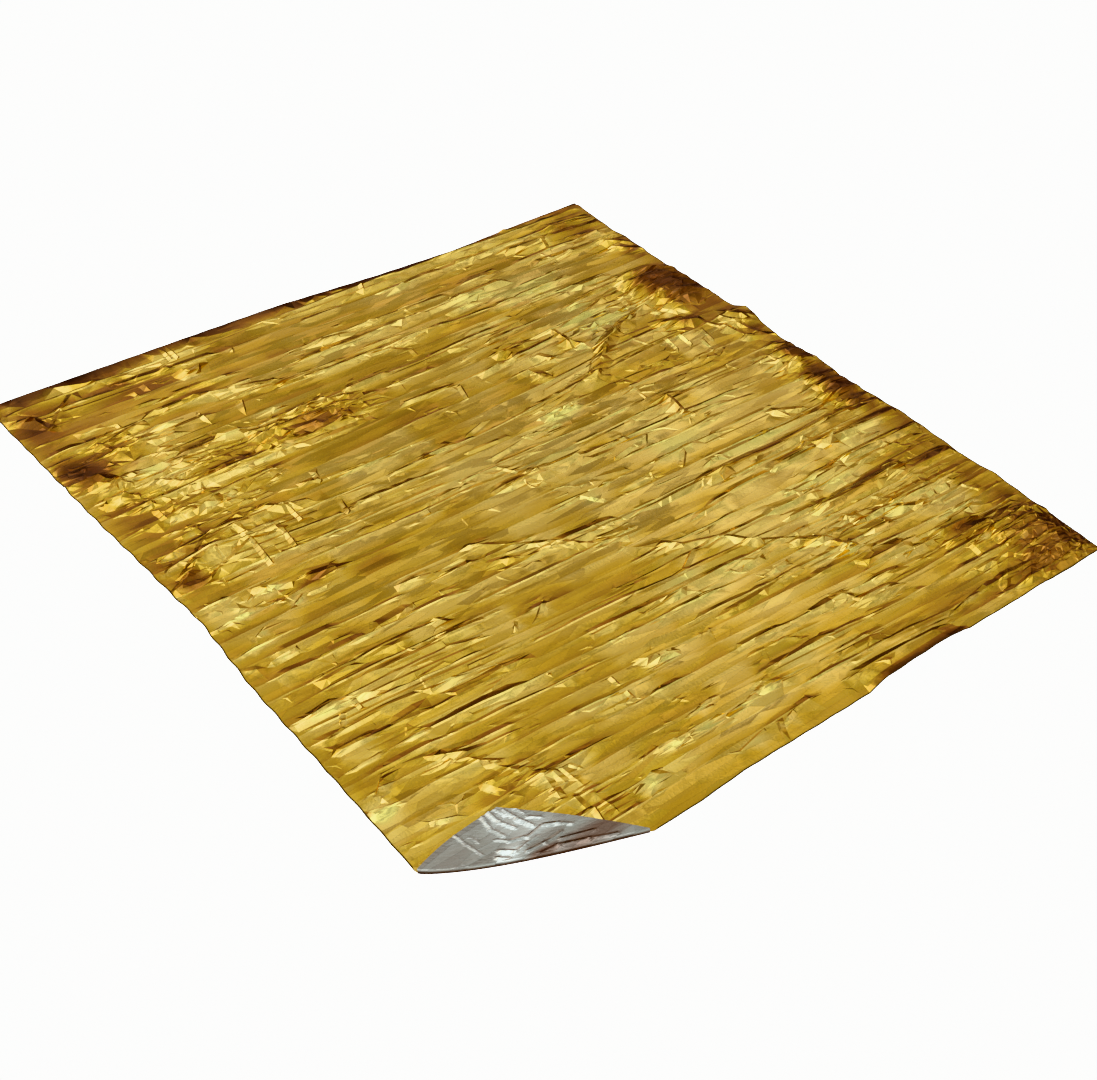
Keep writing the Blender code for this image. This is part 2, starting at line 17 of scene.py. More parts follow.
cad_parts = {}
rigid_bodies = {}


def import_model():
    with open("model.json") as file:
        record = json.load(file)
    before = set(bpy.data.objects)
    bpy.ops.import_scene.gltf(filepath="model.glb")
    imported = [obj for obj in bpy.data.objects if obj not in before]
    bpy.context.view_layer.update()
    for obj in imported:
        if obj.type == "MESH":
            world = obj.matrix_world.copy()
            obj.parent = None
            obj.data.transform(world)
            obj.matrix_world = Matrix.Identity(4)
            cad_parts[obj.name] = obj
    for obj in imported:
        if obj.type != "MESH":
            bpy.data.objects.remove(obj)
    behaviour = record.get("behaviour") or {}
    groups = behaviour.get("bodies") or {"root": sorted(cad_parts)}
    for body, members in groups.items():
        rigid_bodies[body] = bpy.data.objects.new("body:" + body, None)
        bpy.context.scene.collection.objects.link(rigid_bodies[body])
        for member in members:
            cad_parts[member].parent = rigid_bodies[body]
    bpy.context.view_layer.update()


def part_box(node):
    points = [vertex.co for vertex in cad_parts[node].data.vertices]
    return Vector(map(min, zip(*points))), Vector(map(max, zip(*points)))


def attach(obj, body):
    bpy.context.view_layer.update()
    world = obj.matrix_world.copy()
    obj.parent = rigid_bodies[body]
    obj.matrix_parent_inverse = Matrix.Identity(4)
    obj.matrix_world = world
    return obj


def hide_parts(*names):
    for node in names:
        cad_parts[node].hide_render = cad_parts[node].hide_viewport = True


MM = 0.001


def table(kind, text):
    """A table's rows, one for each line of numbers and names. A line that starts with # is a note."""
    lines = [line.split() for line in text.splitlines()]
    rows = [line for line in lines if line and line[0] != "#"]
    return [kind(*(word if word.isalpha() else float(word) for word in row)) for row in rows]


# The camera, solved from the corners of the sheet
CAMERA_PLACE = (-1.7291, -2.3555, 2.266)
CAMERA_ELEVATION = 40.0
CAMERA_AZIMUTH = -37.2
CAMERA_LENS, CAMERA_SENSOR = 56.44, 36.0  # millimetres

# ---------------------------------------------------------------- the solid's own folds
EDGE_SPACING = 0.010
SETTLE = 0.0022  # what lies lower than this is pressed flat on the surface
FOIL = 0.0004  # the thickness of the sheet
NOSE_RADIUS = 0.005  # of the turn where the corner folds over
FLAP_TIP_HEIGHT = 0.0085
FLAP_ROWS = 84
NOSE_STEPS = 8
# Under the turned corner the sheet stays this low, and it may rise with this slope from a margin on
UNDER_FLAP, UNDER_FLAP_SLOPE, UNDER_FLAP_MARGIN = 0.0012, 0.55, 0.012

CREST_STATIONS = (-0.65, 0.0, 0.60)  # where the table gives a crest's place and rise
BACK_PER_RISE = 2.5
BACK_LEAST = 0.002
BACK_MOST_OF_GAP = 0.45
NODE_SPACING = 0.12
CREST_KINK = 0.0035
RISE_SPREAD = 0.45
PLEAT_SEED = 11
PLEAT_RISE_SCALE = 1.25
PLEAT_KEEP_AT_CREASE = 0.6
CREASE_SHARE = 0.45  # thin foil creases lower and narrower than the solid
CREASE_NARROW = 0.7

FAR_LEFT = (-0.824, 0.945)
FAR_RIGHT = (0.810, 0.886)
FRONT_RIGHT = (0.787, -0.891)
TURN_LEFT = (-0.790, -0.748)
TURN_RIGHT = (-0.4255, -0.914)
TURN_BOW = 0.015
TURN_BOW_PEAK = 0.36
FLAP_TIP = (-0.603, -0.713)

# Each side of the outline: along is the place on the side's long axis, across is the edge
EdgePoint = namedtuple("EdgePoint", "along across")
# along is y, across is x
LEFT_EDGE = table(EdgePoint, """
    0.85 -0.822
    0.76 -0.817
    0.58 -0.811
    0.40 -0.803
    0.26 -0.794
    0.13 -0.788
    0.02 -0.781
    -0.10 -0.787
    -0.20 -0.792
    -0.45 -0.790
""")
RIGHT_EDGE = table(EdgePoint, """
    0.76 0.807
    0.72 0.803
    0.67 0.809
    0.52 0.803
    0.42 0.808
    0.25 0.808
    0.228 0.834
    0.17 0.819
    0.12 0.808
    0.05 0.803
    -0.05 0.815
    -0.13 0.804
    -0.32 0.813
    -0.42 0.808
    -0.52 0.801
    -0.59 0.808
    -0.68 0.800
""")
# along is x, across is y
FAR_EDGE = table(EdgePoint, """
    -0.58 0.939
    -0.31 0.931
    -0.08 0.923
    0.05 0.909
    0.19 0.895
    0.41 0.880
    0.59 0.884
""")
FRONT_EDGE = table(EdgePoint, """
    -0.31 -0.912
    -0.20 -0.904
    0.10 -0.902
    0.28 -0.896
    0.41 -0.892
    0.70 -0.894
""")
# Each side from its first corner to its last. An upright side runs along y, and a high one lies at
# the greater x or y, where the outline is walked the other way
Side = namedtuple("Side", "first points last upright high")
SIDES = {
    "left": Side(FAR_LEFT, LEFT_EDGE, TURN_LEFT, True, False),
    "front": Side(TURN_RIGHT, FRONT_EDGE, FRONT_RIGHT, False, False),
    "right": Side(FAR_RIGHT, RIGHT_EDGE, FRONT_RIGHT, True, True),
    "far": Side(FAR_LEFT, FAR_EDGE, FAR_RIGHT, False, True),
}
EDGE_RIPPLE = 0.0014  # the edges draw in and out a little at each pleat
EDGE_RIPPLE_LENGTH = 0.071
LONG_EDGE_RIPPLE = 0.4  # the share of it along the pleats

# A row for each pleat, from the far edge to the front one: the y of its crest at the three
# stations and its rise there, all in millimetres
Pleat = namedtuple("Pleat", "y_left y_mid y_right rise_left rise_mid rise_right")
PLEATS = table(Pleat, """
    884 876 846 3 5 7
    836 823 809 7 4 7
    784 782 770 2 2 8
    737 725 729 5 7 6
    687 680 682 5 4 8
    652 639 639 4 2 3
    619 608 596 5 7 6
    562 559 559 4 3 6
    520 514 524 4 7 3
    474 466 494 7 8 6
    414 421 434 7 6 6
    354 380 394 5 6 3
    297 318 339 3 2 3
    244 251 276 4 5 3
    202 190 229 3 5 5
    148 139 132 3 6 5
    109 84 66 3 5 3
    56 39 34 4 3 6
    -16 -2 -28 5 6 6
    -56 -61 -76 4 3 3
    -104 -111 -122 5 6 7
    -143 -166 -178 6 3 6
    -204 -212 -232 6 5 10
    -248 -262 -262 5 2 3
    -283 -304 -293 4 2 9
    -322 -350 -360 6 3 10
    -358 -394 -398 5 3 8
    -390 -428 -456 5 3 9
    -437 -470 -488 9 6 6
    -480 -510 -534 5 6 6
    -511 -553 -578 4 6 7
    -551 -589 -619 6 6 6
    -594 -628 -666 4 4 5
    -646 -663 -694 4 7 6
    -696 -696 -720 3 8 6
    -731 -735 -768 2 8 5
    -776 -773 -802 2 5 4
    -816 -807 -838 2 6 5
    -856 -842 -868 2 7 4
""")

# A row for each stretch of a crease, all in millimetres. A rise below 0 is a trough, and the
# reach is how far each of its two sides runs out
Crease = namedtuple("Crease", "x_start y_start x_end y_end rise reach")
CREASES = table(Crease, """
    # the V at the far left corner
    -812 842 -734 765 -6 24
    -734 765 -650 869 7 26
    # a long arched ridge near the far left
    -678 652 -541 698 9 26
    -541 698 -457 694 12 30
    -457 694 -283 646 11 28
    -283 646 -15 612 5 24
    # short steep folds at the left edge
    -802 557 -688 500 10 22
    -688 500 -583 621 8 24
    # the crumple right of them
    -398 485 -162 468 9 20
    -403 427 -162 441 9 20
    -398 554 -361 506 -5 18
    # the high chevron on the left
    -776 120 -640 214 14 38
    -640 214 -562 239 16 38
    -562 239 -488 235 14 36
    -488 235 -388 196 10 32
    -388 196 -277 178 6 26
    # ticks across it
    -583 198 -577 96 5 14
    -520 184 -510 100 5 14
    # the long diagonal, from the middle down to the right
    -403 -129 -277 -155 4 20
    -277 -155 -203 -187 5 22
    -203 -187 -98 -225 6 24
    -98 -225 -10 -282 6 24
    -10 -282 95 -366 5 24
    95 -366 197 -404 4 22
    197 -404 254 -473 5 24
    254 -473 328 -520 5 24
    328 -520 400 -592 6 24
    400 -592 469 -642 6 26
    # the tented wrinkle on the right
    355 200 400 245 8 20
    400 245 457 301 12 24
    457 301 547 335 12 26
    547 335 626 369 9 26
    # the arcs above it
    400 416 491 434 7 22
    491 434 581 460 8 22
    485 473 559 495 7 20
    559 495 693 501 7 20
    377 416 377 349 6 16
    377 349 405 316 6 16
    236 334 248 274 -6 18
    # the smooth three-sided panel beside the right edge
    428 139 620 167 6 24
    428 139 620 111 5 24
    # a short steep tick below it
    422 48 412 -26 9 17
    456 53 502 46 -7 17
    # a broad low ridge across the left half
    -535 57 -15 57 5 42
    # a kink in the right-hand pleats
    580 -273 620 -311 -6 18
    444 -428 458 -390 6 16
    444 -516 518 -543 -5 16
    # what runs out from behind the turned corner
    -636 -540 -583 -568 7 18
    -583 -568 -520 -663 8 20
    -520 -663 -468 -705 7 18
    -455 -706 -448 -764 8 16
    -448 -764 -438 -842 7 16
    # the rumpled front right corner
    560 -656 640 -702 8 28
    524 -866 581 -794 8 24
    640 -742 760 -800 9 30
""")

# Broad low swells, in millimetres: the middle, the half widths and the rise
Swell = namedtuple("Swell", "x y half_x half_y rise")
SWELLS = table(Swell, """
    -560 470 260 170 7
    -600 180 240 120 8
    -280 450 170 90 5
    450 330 330 220 8
    480 20 260 140 5
    120 -420 300 160 4
    620 -400 210 260 5
    660 -760 190 150 8
    -540 -350 220 200 4
    250 -830 160 110 6
    -740 860 160 120 5
    640 800 230 120 6
""")

# Where a strip beside an edge stands up and then turns down, in millimetres: the stretch of
# the side, how high, how far inside the edge the top of it runs, and how wide it is
Lip = namedtuple("Lip", "side start end rise inset reach")
LIPS = table(Lip, """
    far -830 830 9 24 30
    far -420 120 4 22 30
    right 300 520 20 62 60
    right 150 240 12 40 44
    right -60 50 17 46 46
    right -210 -90 14 44 44
    right -900 -690 15 60 56
    right 620 700 11 36 40
    front 110 390 12 0 36
    front 540 790 6 16 30
    left 820 900 7 16 24
""")
LIP_EASE = 0.050  # a lip rises over this length at each of its ends
LIP_INSIDE = 1.9  # its inner side is this much wider than its outer one

# Where the sheet lies dead flat on the surface, in millimetres
FlatPatch = namedtuple("FlatPatch", "x y half_x half_y")
FLAT_PATCHES = table(FlatPatch, """
    -100 -330 95 40
    -240 352 150 20
    -390 -36 80 16
    370 -783 120 12
    -700 -620 50 16
    640 580 60 14
""")
PATCH_EASE = 0.028

# ---------------------------------------------------------------- the thin foil's fine folds
# A row for each stretch, in millimetres. Looking from its start to its end, the gentle side is
# on the right and the steep side on the left; a rise below 0 is a groove
Fold = namedtuple("Fold", "x_start y_start x_end y_end rise gentle steep")
FINE_FOLDS = table(Fold, """
    # the far left corner
    -812 844 -765 832 4 10 14
    -765 832 -741 776 5 10 16
    -736 780 -694 832 3.5 10 12
    -694 832 -652 868 3.5 10 12
    -652 904 -590 886 5 12 16
    -590 886 -510 868 3.5 12 12
    -545 846 -430 836 5.5 16 19
    -430 836 -320 830 5 16 16
    -805 744 -690 750 2.5 10 9
    -535 744 -488 738 4 10 14
    -455 738 -335 728 5.5 14 19
    # the arched ridge
    -800 652 -660 656 3.5 14 12
    -660 656 -570 678 3.5 14 12
    -570 678 -515 708 3.5 12 12
    -500 688 -430 698 4 14 14
    -430 698 -340 672 5.5 14 19
    -340 672 -250 648 4 14 14
    -350 644 -240 628 3.5 14 12
    -240 628 -140 614 4 14 14
    -688 664 -664 620 4 12 14
    -655 600 -590 628 4 12 14
    -622 662 -600 622 3.5 10 12
    # the left edge below it
    -800 624 -700 630 3.5 10 11
    -802 602 -745 600 4 12 14
    -808 562 -735 556 6.5 12 21
    -735 556 -710 512 7.5 12 24
    -710 512 -678 520 6 12 20
    -800 536 -742 530 3.5 10 11
    -806 588 -752 578 5 10 15
    -752 532 -700 498 5 10 16
    -806 632 -764 636 4 10 13
    -400 562 -372 518 2.5 8 9
    -360 520 -290 518 3.5 10 11
    -280 516 -205 518 5 12 16
    -205 518 -186 490 3.5 12 12
    # the crumple left of the middle
    -400 500 -330 492 5 10 15
    -330 446 -262 440 5 10 15
    -176 500 -118 482 4.5 10 14
    -400 466 -290 466 7 12 24
    -260 466 -165 468 6.5 12 22
    -412 450 -388 426 3.5 10 12
    -388 424 -300 422 4 10 14
    -270 422 -205 422 4 10 14
    -205 422 -160 454 4 10 14
    -275 386 -150 382 5 12 16
    -150 424 -120 422 3.5 10 12
    -60 390 55 382 5.5 12 19
    -640 470 -600 430 2.5 10 9
    -600 428 -540 424 2.5 10 9
    -540 424 -470 436 2.5 10 9
    -700 492 -620 484 2.5 12 9
    -800 334 -740 344 3.5 12 12
    -660 366 -560 370 3.5 12 11
    -560 318 -480 312 2.5 12 9
    # the far middle
    -150 730 60 724 3.5 18 12
    60 724 260 714 3.5 18 12
    -84 718 -40 712 7 12 23
    -150 682 120 676 5.5 18 19
    120 676 350 668 5 18 16
    -150 610 0 610 3.5 14 12
    0 608 150 604 5 14 16
    0 634 52 632 4 10 14
    30 596 60 566 3.5 10 12
    -130 510 -40 514 7 12 23
    -48 466 60 468 4 12 14
    140 504 172 494 3.5 10 12
    250 488 345 506 3.5 10 11
    238 408 300 414 8 12 26
    222 420 246 402 6.5 10 20
    236 322 252 272 7 12 20
    286 352 306 326 5.5 10 18
    296 208 352 214 7 12 22
    424 52 414 -22 5 9 13
    -140 190 -68 200 5.5 12 19
    # the far right
    350 864 560 866 5 16 17
    560 866 800 864 5 16 17
    380 822 430 818 3.5 12 12
    430 812 560 814 3.5 14 11
    520 786 640 774 5.5 14 19
    640 772 790 764 6 14 20
    665 806 750 798 7.5 12 25
    350 740 430 738 3.5 12 12
    610 770 604 732 3.5 10 12
    550 694 640 690 5.5 14 19
    640 688 790 684 5 14 17
    700 736 760 728 5 10 16
    740 668 796 632 5 12 16
    740 640 800 590 6 12 20
    480 600 560 602 3.5 14 12
    560 602 660 588 3.5 14 12
    440 570 552 566 2.5 12 9
    555 542 630 542 6.5 12 22
    # the arcs and the tented wrinkle
    490 486 560 502 3.5 12 12
    560 502 690 502 3.5 12 12
    420 420 490 432 3.5 12 12
    490 432 560 458 3.5 12 12
    560 458 690 470 3.5 12 12
    600 446 690 436 3.5 12 12
    660 506 800 470 8 14 27
    650 472 796 420 9 14 30
    644 424 790 380 9 14 30
    676 376 796 338 9 14 30
    378 424 380 352 4.5 8 14
    380 352 402 326 4.5 8 14
    340 196 430 284 8 14 24
    430 284 492 320 8.5 14 26
    492 320 562 348 7 14 22
    562 348 626 372 5 12 16
    600 286 692 250 8.5 12 30
    648 382 690 350 4 12 14
    602 404 612 436 3.5 10 11
    700 236 722 180 3.5 9 11
    724 190 742 128 3.5 9 12
    744 236 756 190 3.5 9 11
    756 180 776 120 4 9 14
    770 240 790 180 4 9 14
    740 120 800 92 5.5 12 19
    # the high chevron on the left
    -678 212 -632 246 3.5 12 12
    -632 246 -566 262 3.5 12 11
    -566 262 -500 252 3.5 12 11
    -505 250 -478 226 5.5 12 19
    -470 232 -418 220 3.5 12 12
    -778 128 -735 152 3.5 12 11
    -735 150 -702 176 6.5 12 22
    -764 122 -700 120 4 12 14
    -700 120 -630 150 3.5 12 11
    -630 150 -560 184 2.5 12 9
    -588 230 -572 196 2.5 8 9
    -220 188 -140 190 5 12 17
    -300 250 -200 246 4 12 14
    -360 262 -262 258 3.5 12 11
    -394 272 -368 266 5 8 16
    # the middle
    -540 6 -490 -4 8.5 14 28
    -52 152 50 148 3.5 12 11
    70 126 112 126 2.5 10 9
    130 102 192 98 3.5 10 11
    230 98 300 98 2.5 10 9
    -66 0 22 4 8 12 26
    22 2 130 0 6.5 12 22
    150 -30 182 -32 3.5 8 12
    196 -12 230 -14 4 8 14
    248 12 252 -22 2.5 7 9
    -26 -110 62 -112 3.5 12 12
    50 -84 102 -94 2.5 8 8
    140 -92 182 -102 3.5 10 12
    250 -120 352 -120 3.5 12 11
    -412 -124 -364 -128 5 10 17
    -332 -152 -264 -154 5 10 16
    -236 -108 -158 -156 3.5 10 11
    -216 -182 -186 -198 4 10 14
    -640 -202 -560 -202 4 10 14
    -512 -200 -440 -192 6 12 20
    -670 -266 -620 -260 6 12 20
    -546 -264 -500 -266 5 12 17
    -416 -246 -400 -268 3.5 8 11
    -430 -300 -364 -304 6 12 20
    -570 -304 -440 -308 2.5 12 9
    -440 -326 -376 -346 2.5 12 9
    -790 -150 -760 -160 3.5 10 12
    # along the diagonal
    -140 -176 -100 -196 3.5 10 12
    -100 -196 -40 -250 3.5 10 11
    -40 -250 44 -278 3.5 10 11
    -120 -206 -60 -232 3.5 10 12
    -12 -250 62 -260 3.5 10 12
    78 -344 102 -364 5.5 10 19
    102 -366 190 -396 3.5 10 11
    194 -402 242 -452 3.5 10 12
    242 -452 300 -484 3.5 10 11
    306 -502 352 -532 6.5 10 20
    352 -532 384 -584 6.5 10 20
    382 -636 472 -640 9 12 30
    # the middle right
    170 -236 290 -230 5.5 12 18
    290 -238 345 -240 8 12 24
    345 -240 645 -244 9 14 28
    645 -246 796 -250 7 12 20
    350 -188 600 -192 3.5 12 11
    440 -292 546 -294 8.5 12 24
    552 -276 604 -300 9.5 12 28
    604 -300 796 -298 8 12 24
    580 -138 640 -170 4 10 14
    626 -196 660 -198 5 10 16
    336 -262 352 -256 5 8 16
    210 -314 272 -312 3.5 10 12
    488 -374 544 -378 9.5 12 26
    590 -367 796 -368 8 12 22
    340 -396 440 -406 5.5 12 20
    600 -392 790 -392 5 12 18
    350 -436 440 -442 5.5 12 18
    440 -461 645 -459 11 14 32
    640 -478 786 -478 9 12 26
    560 -526 790 -526 3.5 12 11
    440 -506 462 -530 6 10 18
    462 -532 522 -536 6 10 18
    458 -574 498 -574 8 10 28
    552 -552 600 -576 6 10 18
    600 -576 645 -566 6 10 18
    600 -624 700 -626 2.5 10 9
    730 -100 800 -108 6.5 12 22
    722 -136 800 -140 7 12 23
    726 -176 800 -180 7 12 23
    740 -214 800 -216 5 12 17
    760 60 806 40 6 12 20
    744 20 806 8 6 12 20
    750 -30 810 -36 5.5 12 19
    # the lower half
    -750 -430 -700 -430 5 12 17
    -622 -436 -578 -432 5.5 12 19
    -500 -438 -420 -440 4 12 14
    -402 -438 -348 -442 5.5 12 19
    -622 -546 -574 -570 5.5 10 19
    -552 -612 -534 -626 3.5 8 11
    -326 -538 -276 -536 4 10 14
    -532 -684 -488 -692 3.5 10 12
    50 -578 150 -574 3.5 12 12
    150 -574 252 -560 3.5 12 11
    270 -690 300 -700 3.5 10 12
    # beside the turned corner
    -492 -702 -500 -764 4 12 14
    -474 -704 -470 -734 3.5 9 12
    -480 -768 -478 -808 3.5 10 12
    -552 -764 -492 -744 2.5 10 9
    -560 -700 -546 -718 2.5 8 9
    # the front right corner
    568 -664 642 -668 9 12 30
    556 -698 662 -698 8 12 26
    644 -716 740 -690 4 12 14
    540 -858 642 -770 5 12 16
    600 -866 660 -812 5 12 16
    740 -716 796 -740 5.5 10 19
    # at the front edge
    130 -905 380 -897 4 6 24
    380 -897 620 -895 3 6 14
""")

# Small bright facets, tilted to the light, each with a painted highlight on it, in millimetres and
# degrees: the middle, the half sizes, and how far the long way is turned from +X. The foil slopes up to
# its left-hand side
Glint = namedtuple("Glint", "x y half_x half_y lean")
GLINTS = table(Glint, """
    # far
    -410 790 12 14 -60
    -378 800 12 14 -120
    -535 785 10 6 -80
    -505 800 10 6 -85
    -680 714 16 7 0
    -620 700 8 4 -80
    -540 636 16 9 -10
    -455 620 16 5 -85
    -362 610 16 7 -110
    -270 818 12 4 -110
    -404 880 14 4 -90
    -388 878 14 4 -85
    -305 540 14 9 -20
    -440 512 24 14 0
    -640 504 34 9 0
    -740 448 22 13 0
    -700 398 14 7 10
    -692 356 18 7 -85
    -670 326 40 12 8
    -590 328 24 10 20
    -540 330 16 7 30
    -520 392 60 7 -5
    -430 396 50 7 -3
    -350 412 20 8 20
    -670 262 18 9 5
    -742 228 18 8 -8
    -700 292 12 6 0
    -365 276 16 6 -100
    66 346 26 5 -105
    66 548 14 5 -95
    270 630 40 9 4
    280 536 50 6 0
    200 458 36 5 6
    176 374 22 8 10
    205 806 14 8 20
    120 862 10 5 -110
    -585 130 44 5 -92
    -517 136 32 5 -95
    -466 192 22 4 -90
    -372 152 18 5 -100
    # right
    520 376 40 10 5
    640 156 26 4 -100
    612 206 26 4 -95
    668 190 26 4 -100
    572 210 24 4 -95
    690 380 16 5 -60
    660 320 16 4 -50
    690 300 16 4 -55
    630 330 14 4 -55
    352 246 22 4 -130
    # the middle
    10 210 26 5 18
    10 104 36 5 8
    200 158 56 4 4
    200 138 40 9 2
    150 112 20 5 0
    290 70 36 4 0
    222 -56 30 6 12
    182 -158 32 9 5
    118 -116 10 6 20
    60 -140 26 5 -50
    0 -124 36 4 2
    280 -46 18 4 -130
    302 -146 24 6 -135
    348 -196 16 5 10
    -300 -138 28 5 5
    -440 -196 18 5 20
    -550 -210 22 5 0
    -700 -166 28 7 4
    -710 -16 60 5 8
    -620 20 40 7 -20
    -600 -46 26 4 30
    -548 -40 18 5 -6
    -730 -110 44 4 8
    -700 -80 16 5 30
    -720 -340 60 7 0
    -640 -342 34 5 -25
    -660 -352 14 4 -90
    -700 -372 18 4 60
    -700 -398 40 4 0
    -500 -412 24 9 0
    -230 -350 26 4 40
    -300 -360 16 4 60
    # the lower half
    -720 -488 30 6 5
    -730 -558 16 12 45
    -756 -604 28 12 -10
    -620 -486 26 4 0
    -690 -680 26 5 -20
    -160 -590 18 8 -30
    -126 -602 22 12 0
    4 -482 18 9 0
    94 -416 34 5 32
    232 -456 14 8 -40
    216 -544 30 7 6
    190 -502 20 7 0
    -256 -784 32 11 -8
    -180 -784 28 9 0
    -96 -786 34 6 6
    -30 -782 28 9 -4
    -350 -830 20 14 20
    -74 -868 12 5 62
    -46 -860 16 5 20
    -140 -862 36 4 12
    -160 -742 36 4 10
    -586 -668 14 7 -60
    -476 -840 30 5 -100
    378 -590 12 10 20
    660 -562 30 8 0
    575 -744 16 5 -95
    620 -730 24 7 12
    -246 -590 12 4 -90
    -246 -636 10 4 -90
    460 -836 50 4 10
""")
GLINT_SLOPE = 0.36
GLINT_BACK = 4.0
# how much the painted highlight on each glint pales the foil
GLINT_PAINTED_HIGHLIGHT = 1.3

# Where the foil lies calm (below 1) or is crumpled (above 1): the middle, the half widths and
# how much more than elsewhere
Zone = namedtuple("Zone", "x y half_x half_y strength")
ZONES = table(Zone, """
    # smooth panels
    -240 348 320 42 0.1
    -400 -20 150 55 0.2
    -90 -330 200 85 0.2
    370 -770 200 40 0.2
    470 372 60 45 0.3
    500 140 90 36 0.3
    -640 -330 170 60 0.5
    150 760 260 40 0.5
    # crumple
    -570 410 190 120 2.6
    -700 445 110 60 2.4
    -290 465 160 50 2.0
    -400 790 110 36 1.6
    -690 640 90 60 1.8
    -690 30 120 60 2.6
    -650 210 170 90 2.2
    185 145 90 36 2.6
    560 330 130 140 2.0
    640 160 160 80 2.0
    730 -80 60 130 1.4
    300 590 100 80 1.8
    -160 -782 170 34 2.6
    -360 -830 70 40 2.4
    -750 -620 70 70 2.4
    -110 -600 90 26 2.2
    660 -790 170 110 1.7
    600 -670 130 60 2.0
    690 -400 120 240 1.7
    700 760 110 90 1.7
    480 -480 130 90 1.5
    -20 -250 160 50 1.8
    340 -540 160 70 1.8
    -560 -640 100 60 1.8
""")
# Painted light on the gold, in the same way: painted shade where below 0, painted highlight where above
# 0
# broad painted light: painted shade at the far left, painted highlight through the middle
# painted highlight: pale patches
# painted highlight: ribbons of a light tan
# painted shade along the far edge
# painted shade along the right edge
# painted shade at the far left corner and the left edge
# painted shade: brown bands behind the boldest folds
# painted shade: the smooth panels a deeper gold
PAINTED_LIGHT_ZONES = table(Zone, """
    # smooth panels of a deeper gold
    -250 340 300 34 -0.4
    -370 -20 190 42 -0.6
    50 -2 170 28 -0.5
    -110 -365 180 70 -0.45
    120 205 150 45 -0.3
    -560 -680 60 110 -0.3
    380 -815 200 60 -0.5
    255 -894 140 18 -1.9
    # the far edge
    -200 900 260 26 -0.7
    680 868 130 20 -0.7
    690 780 120 110 -0.4
    500 820 200 60 -0.2
    # the far left corner and the left edge
    -775 800 60 120 -1.4
    -780 640 50 60 -1.1
    -745 572 75 70 -1.5
    -415 716 80 32 -1.4
    -560 850 120 24 -0.5
    -270 462 160 75 -1.5
    -735 140 50 45 -1.4
    -165 176 90 22 -1.4
    -530 -6 50 24 -1.4
    -760 -100 60 700 -0.15
    # the right edge
    730 790 90 90 -0.9
    785 600 40 70 -1.6
    745 398 115 145 -2.6
    785 240 30 60 -1.2
    780 125 45 60 -1.5
    690 235 60 36 -0.6
    780 15 55 60 -2.4
    775 -70 55 50 -1.6
    770 -155 65 100 -2.4
    775 -300 45 110 -1.6
    735 -430 90 60 -0.9
    755 -610 60 110 -1.2
    715 -800 160 140 -1.4
    590 -850 130 50 -0.8
    610 -690 90 40 -1.0
    430 20 60 40 -0.7
    550 -455 130 26 -0.7
    440 -235 240 14 -0.5
    -500 -445 230 18 -0.6
    240 400 60 40 -0.6
    -650 640 60 40 -0.7
    # broad drifts, browner at the far left and paler through the middle
    -700 790 150 130 -0.7
    -500 800 120 110 -1.1
    -300 800 120 110 -0.45
    -720 600 120 100 -1.0
    -720 390 120 120 -1.3
    -500 400 130 110 -0.9
    -710 230 120 90 -0.8
    -710 -500 110 170 -0.35
    -100 -40 110 380 0.6
    100 60 130 380 0.85
    310 0 120 120 1.1
    500 600 130 130 0.75
    490 400 100 120 0.8
    520 10 90 110 0.6
    500 -210 150 240 0.4
    705 455 55 55 -1.0
    660 -60 90 170 0.4
    660 -600 110 90 1.0
    # brown bands behind the boldest folds
    520 -230 260 13 -1.7
    500 -281 60 12 -1.6
    585 -280 40 16 -1.6
    710 -288 100 12 -1.6
    700 -358 110 12 -1.6
    520 -362 34 16 -1.6
    550 -445 115 16 -1.8
    720 -466 80 13 -1.6
    650 -415 70 20 -0.8
    478 -561 28 14 -1.6
    430 -627 60 13 -1.7
    610 -668 60 16 -1.2
    330 -520 30 14 -0.8
    365 -560 22 22 -0.8
    325 218 36 12 -1.2
    375 236 22 16 -1.3
    415 276 22 16 -1.4
    460 306 32 14 -1.5
    525 338 36 14 -1.3
    620 288 30 12 -1.3
    668 266 36 14 -1.6
    378 385 9 36 -1.2
    396 340 14 14 -1.2
    # ribbons of a light tan
    460 -330 330 300 0.6
    -350 -125 250 60 0.35
    -250 88 300 36 0.4
    -350 285 220 20 0.4
    -330 392 240 14 0.6
    60 -322 90 24 0.5
    -300 -560 240 130 0.2
    620 600 120 90 0.2
    -100 640 300 60 0.2
    # pale patches
    -620 500 130 100 0.8
    -580 200 60 130 0.3
    400 640 180 66 1.1
    450 395 160 90 1.1
    150 420 60 130 0.5
    200 140 80 36 1.5
    300 -105 170 56 1.1
    -690 5 120 50 0.8
    -740 -350 60 46 0.6
    60 -500 150 64 0.9
    -765 -600 40 50 1.5
    -100 -612 80 36 1.2
    -70 -800 170 45 1.0
""")
FAR_PAINTED_SHADE = 0.034  # how far in from the far edge painted shade darkens the foil
FAR_PAINTED_SHADE_DEPTH = 2.0
# Painted light on the silver of the turned corner, in the same way
FLAP_PAINTED_LIGHT = table(Zone, """
    -745 -760 80 50 -0.25
    -608 -752 46 50 0.8
    -645 -810 34 20 1.4
    -570 -792 55 26 0.7
    -500 -862 120 32 -1.2
    -602 -842 40 14 -1.3
""")
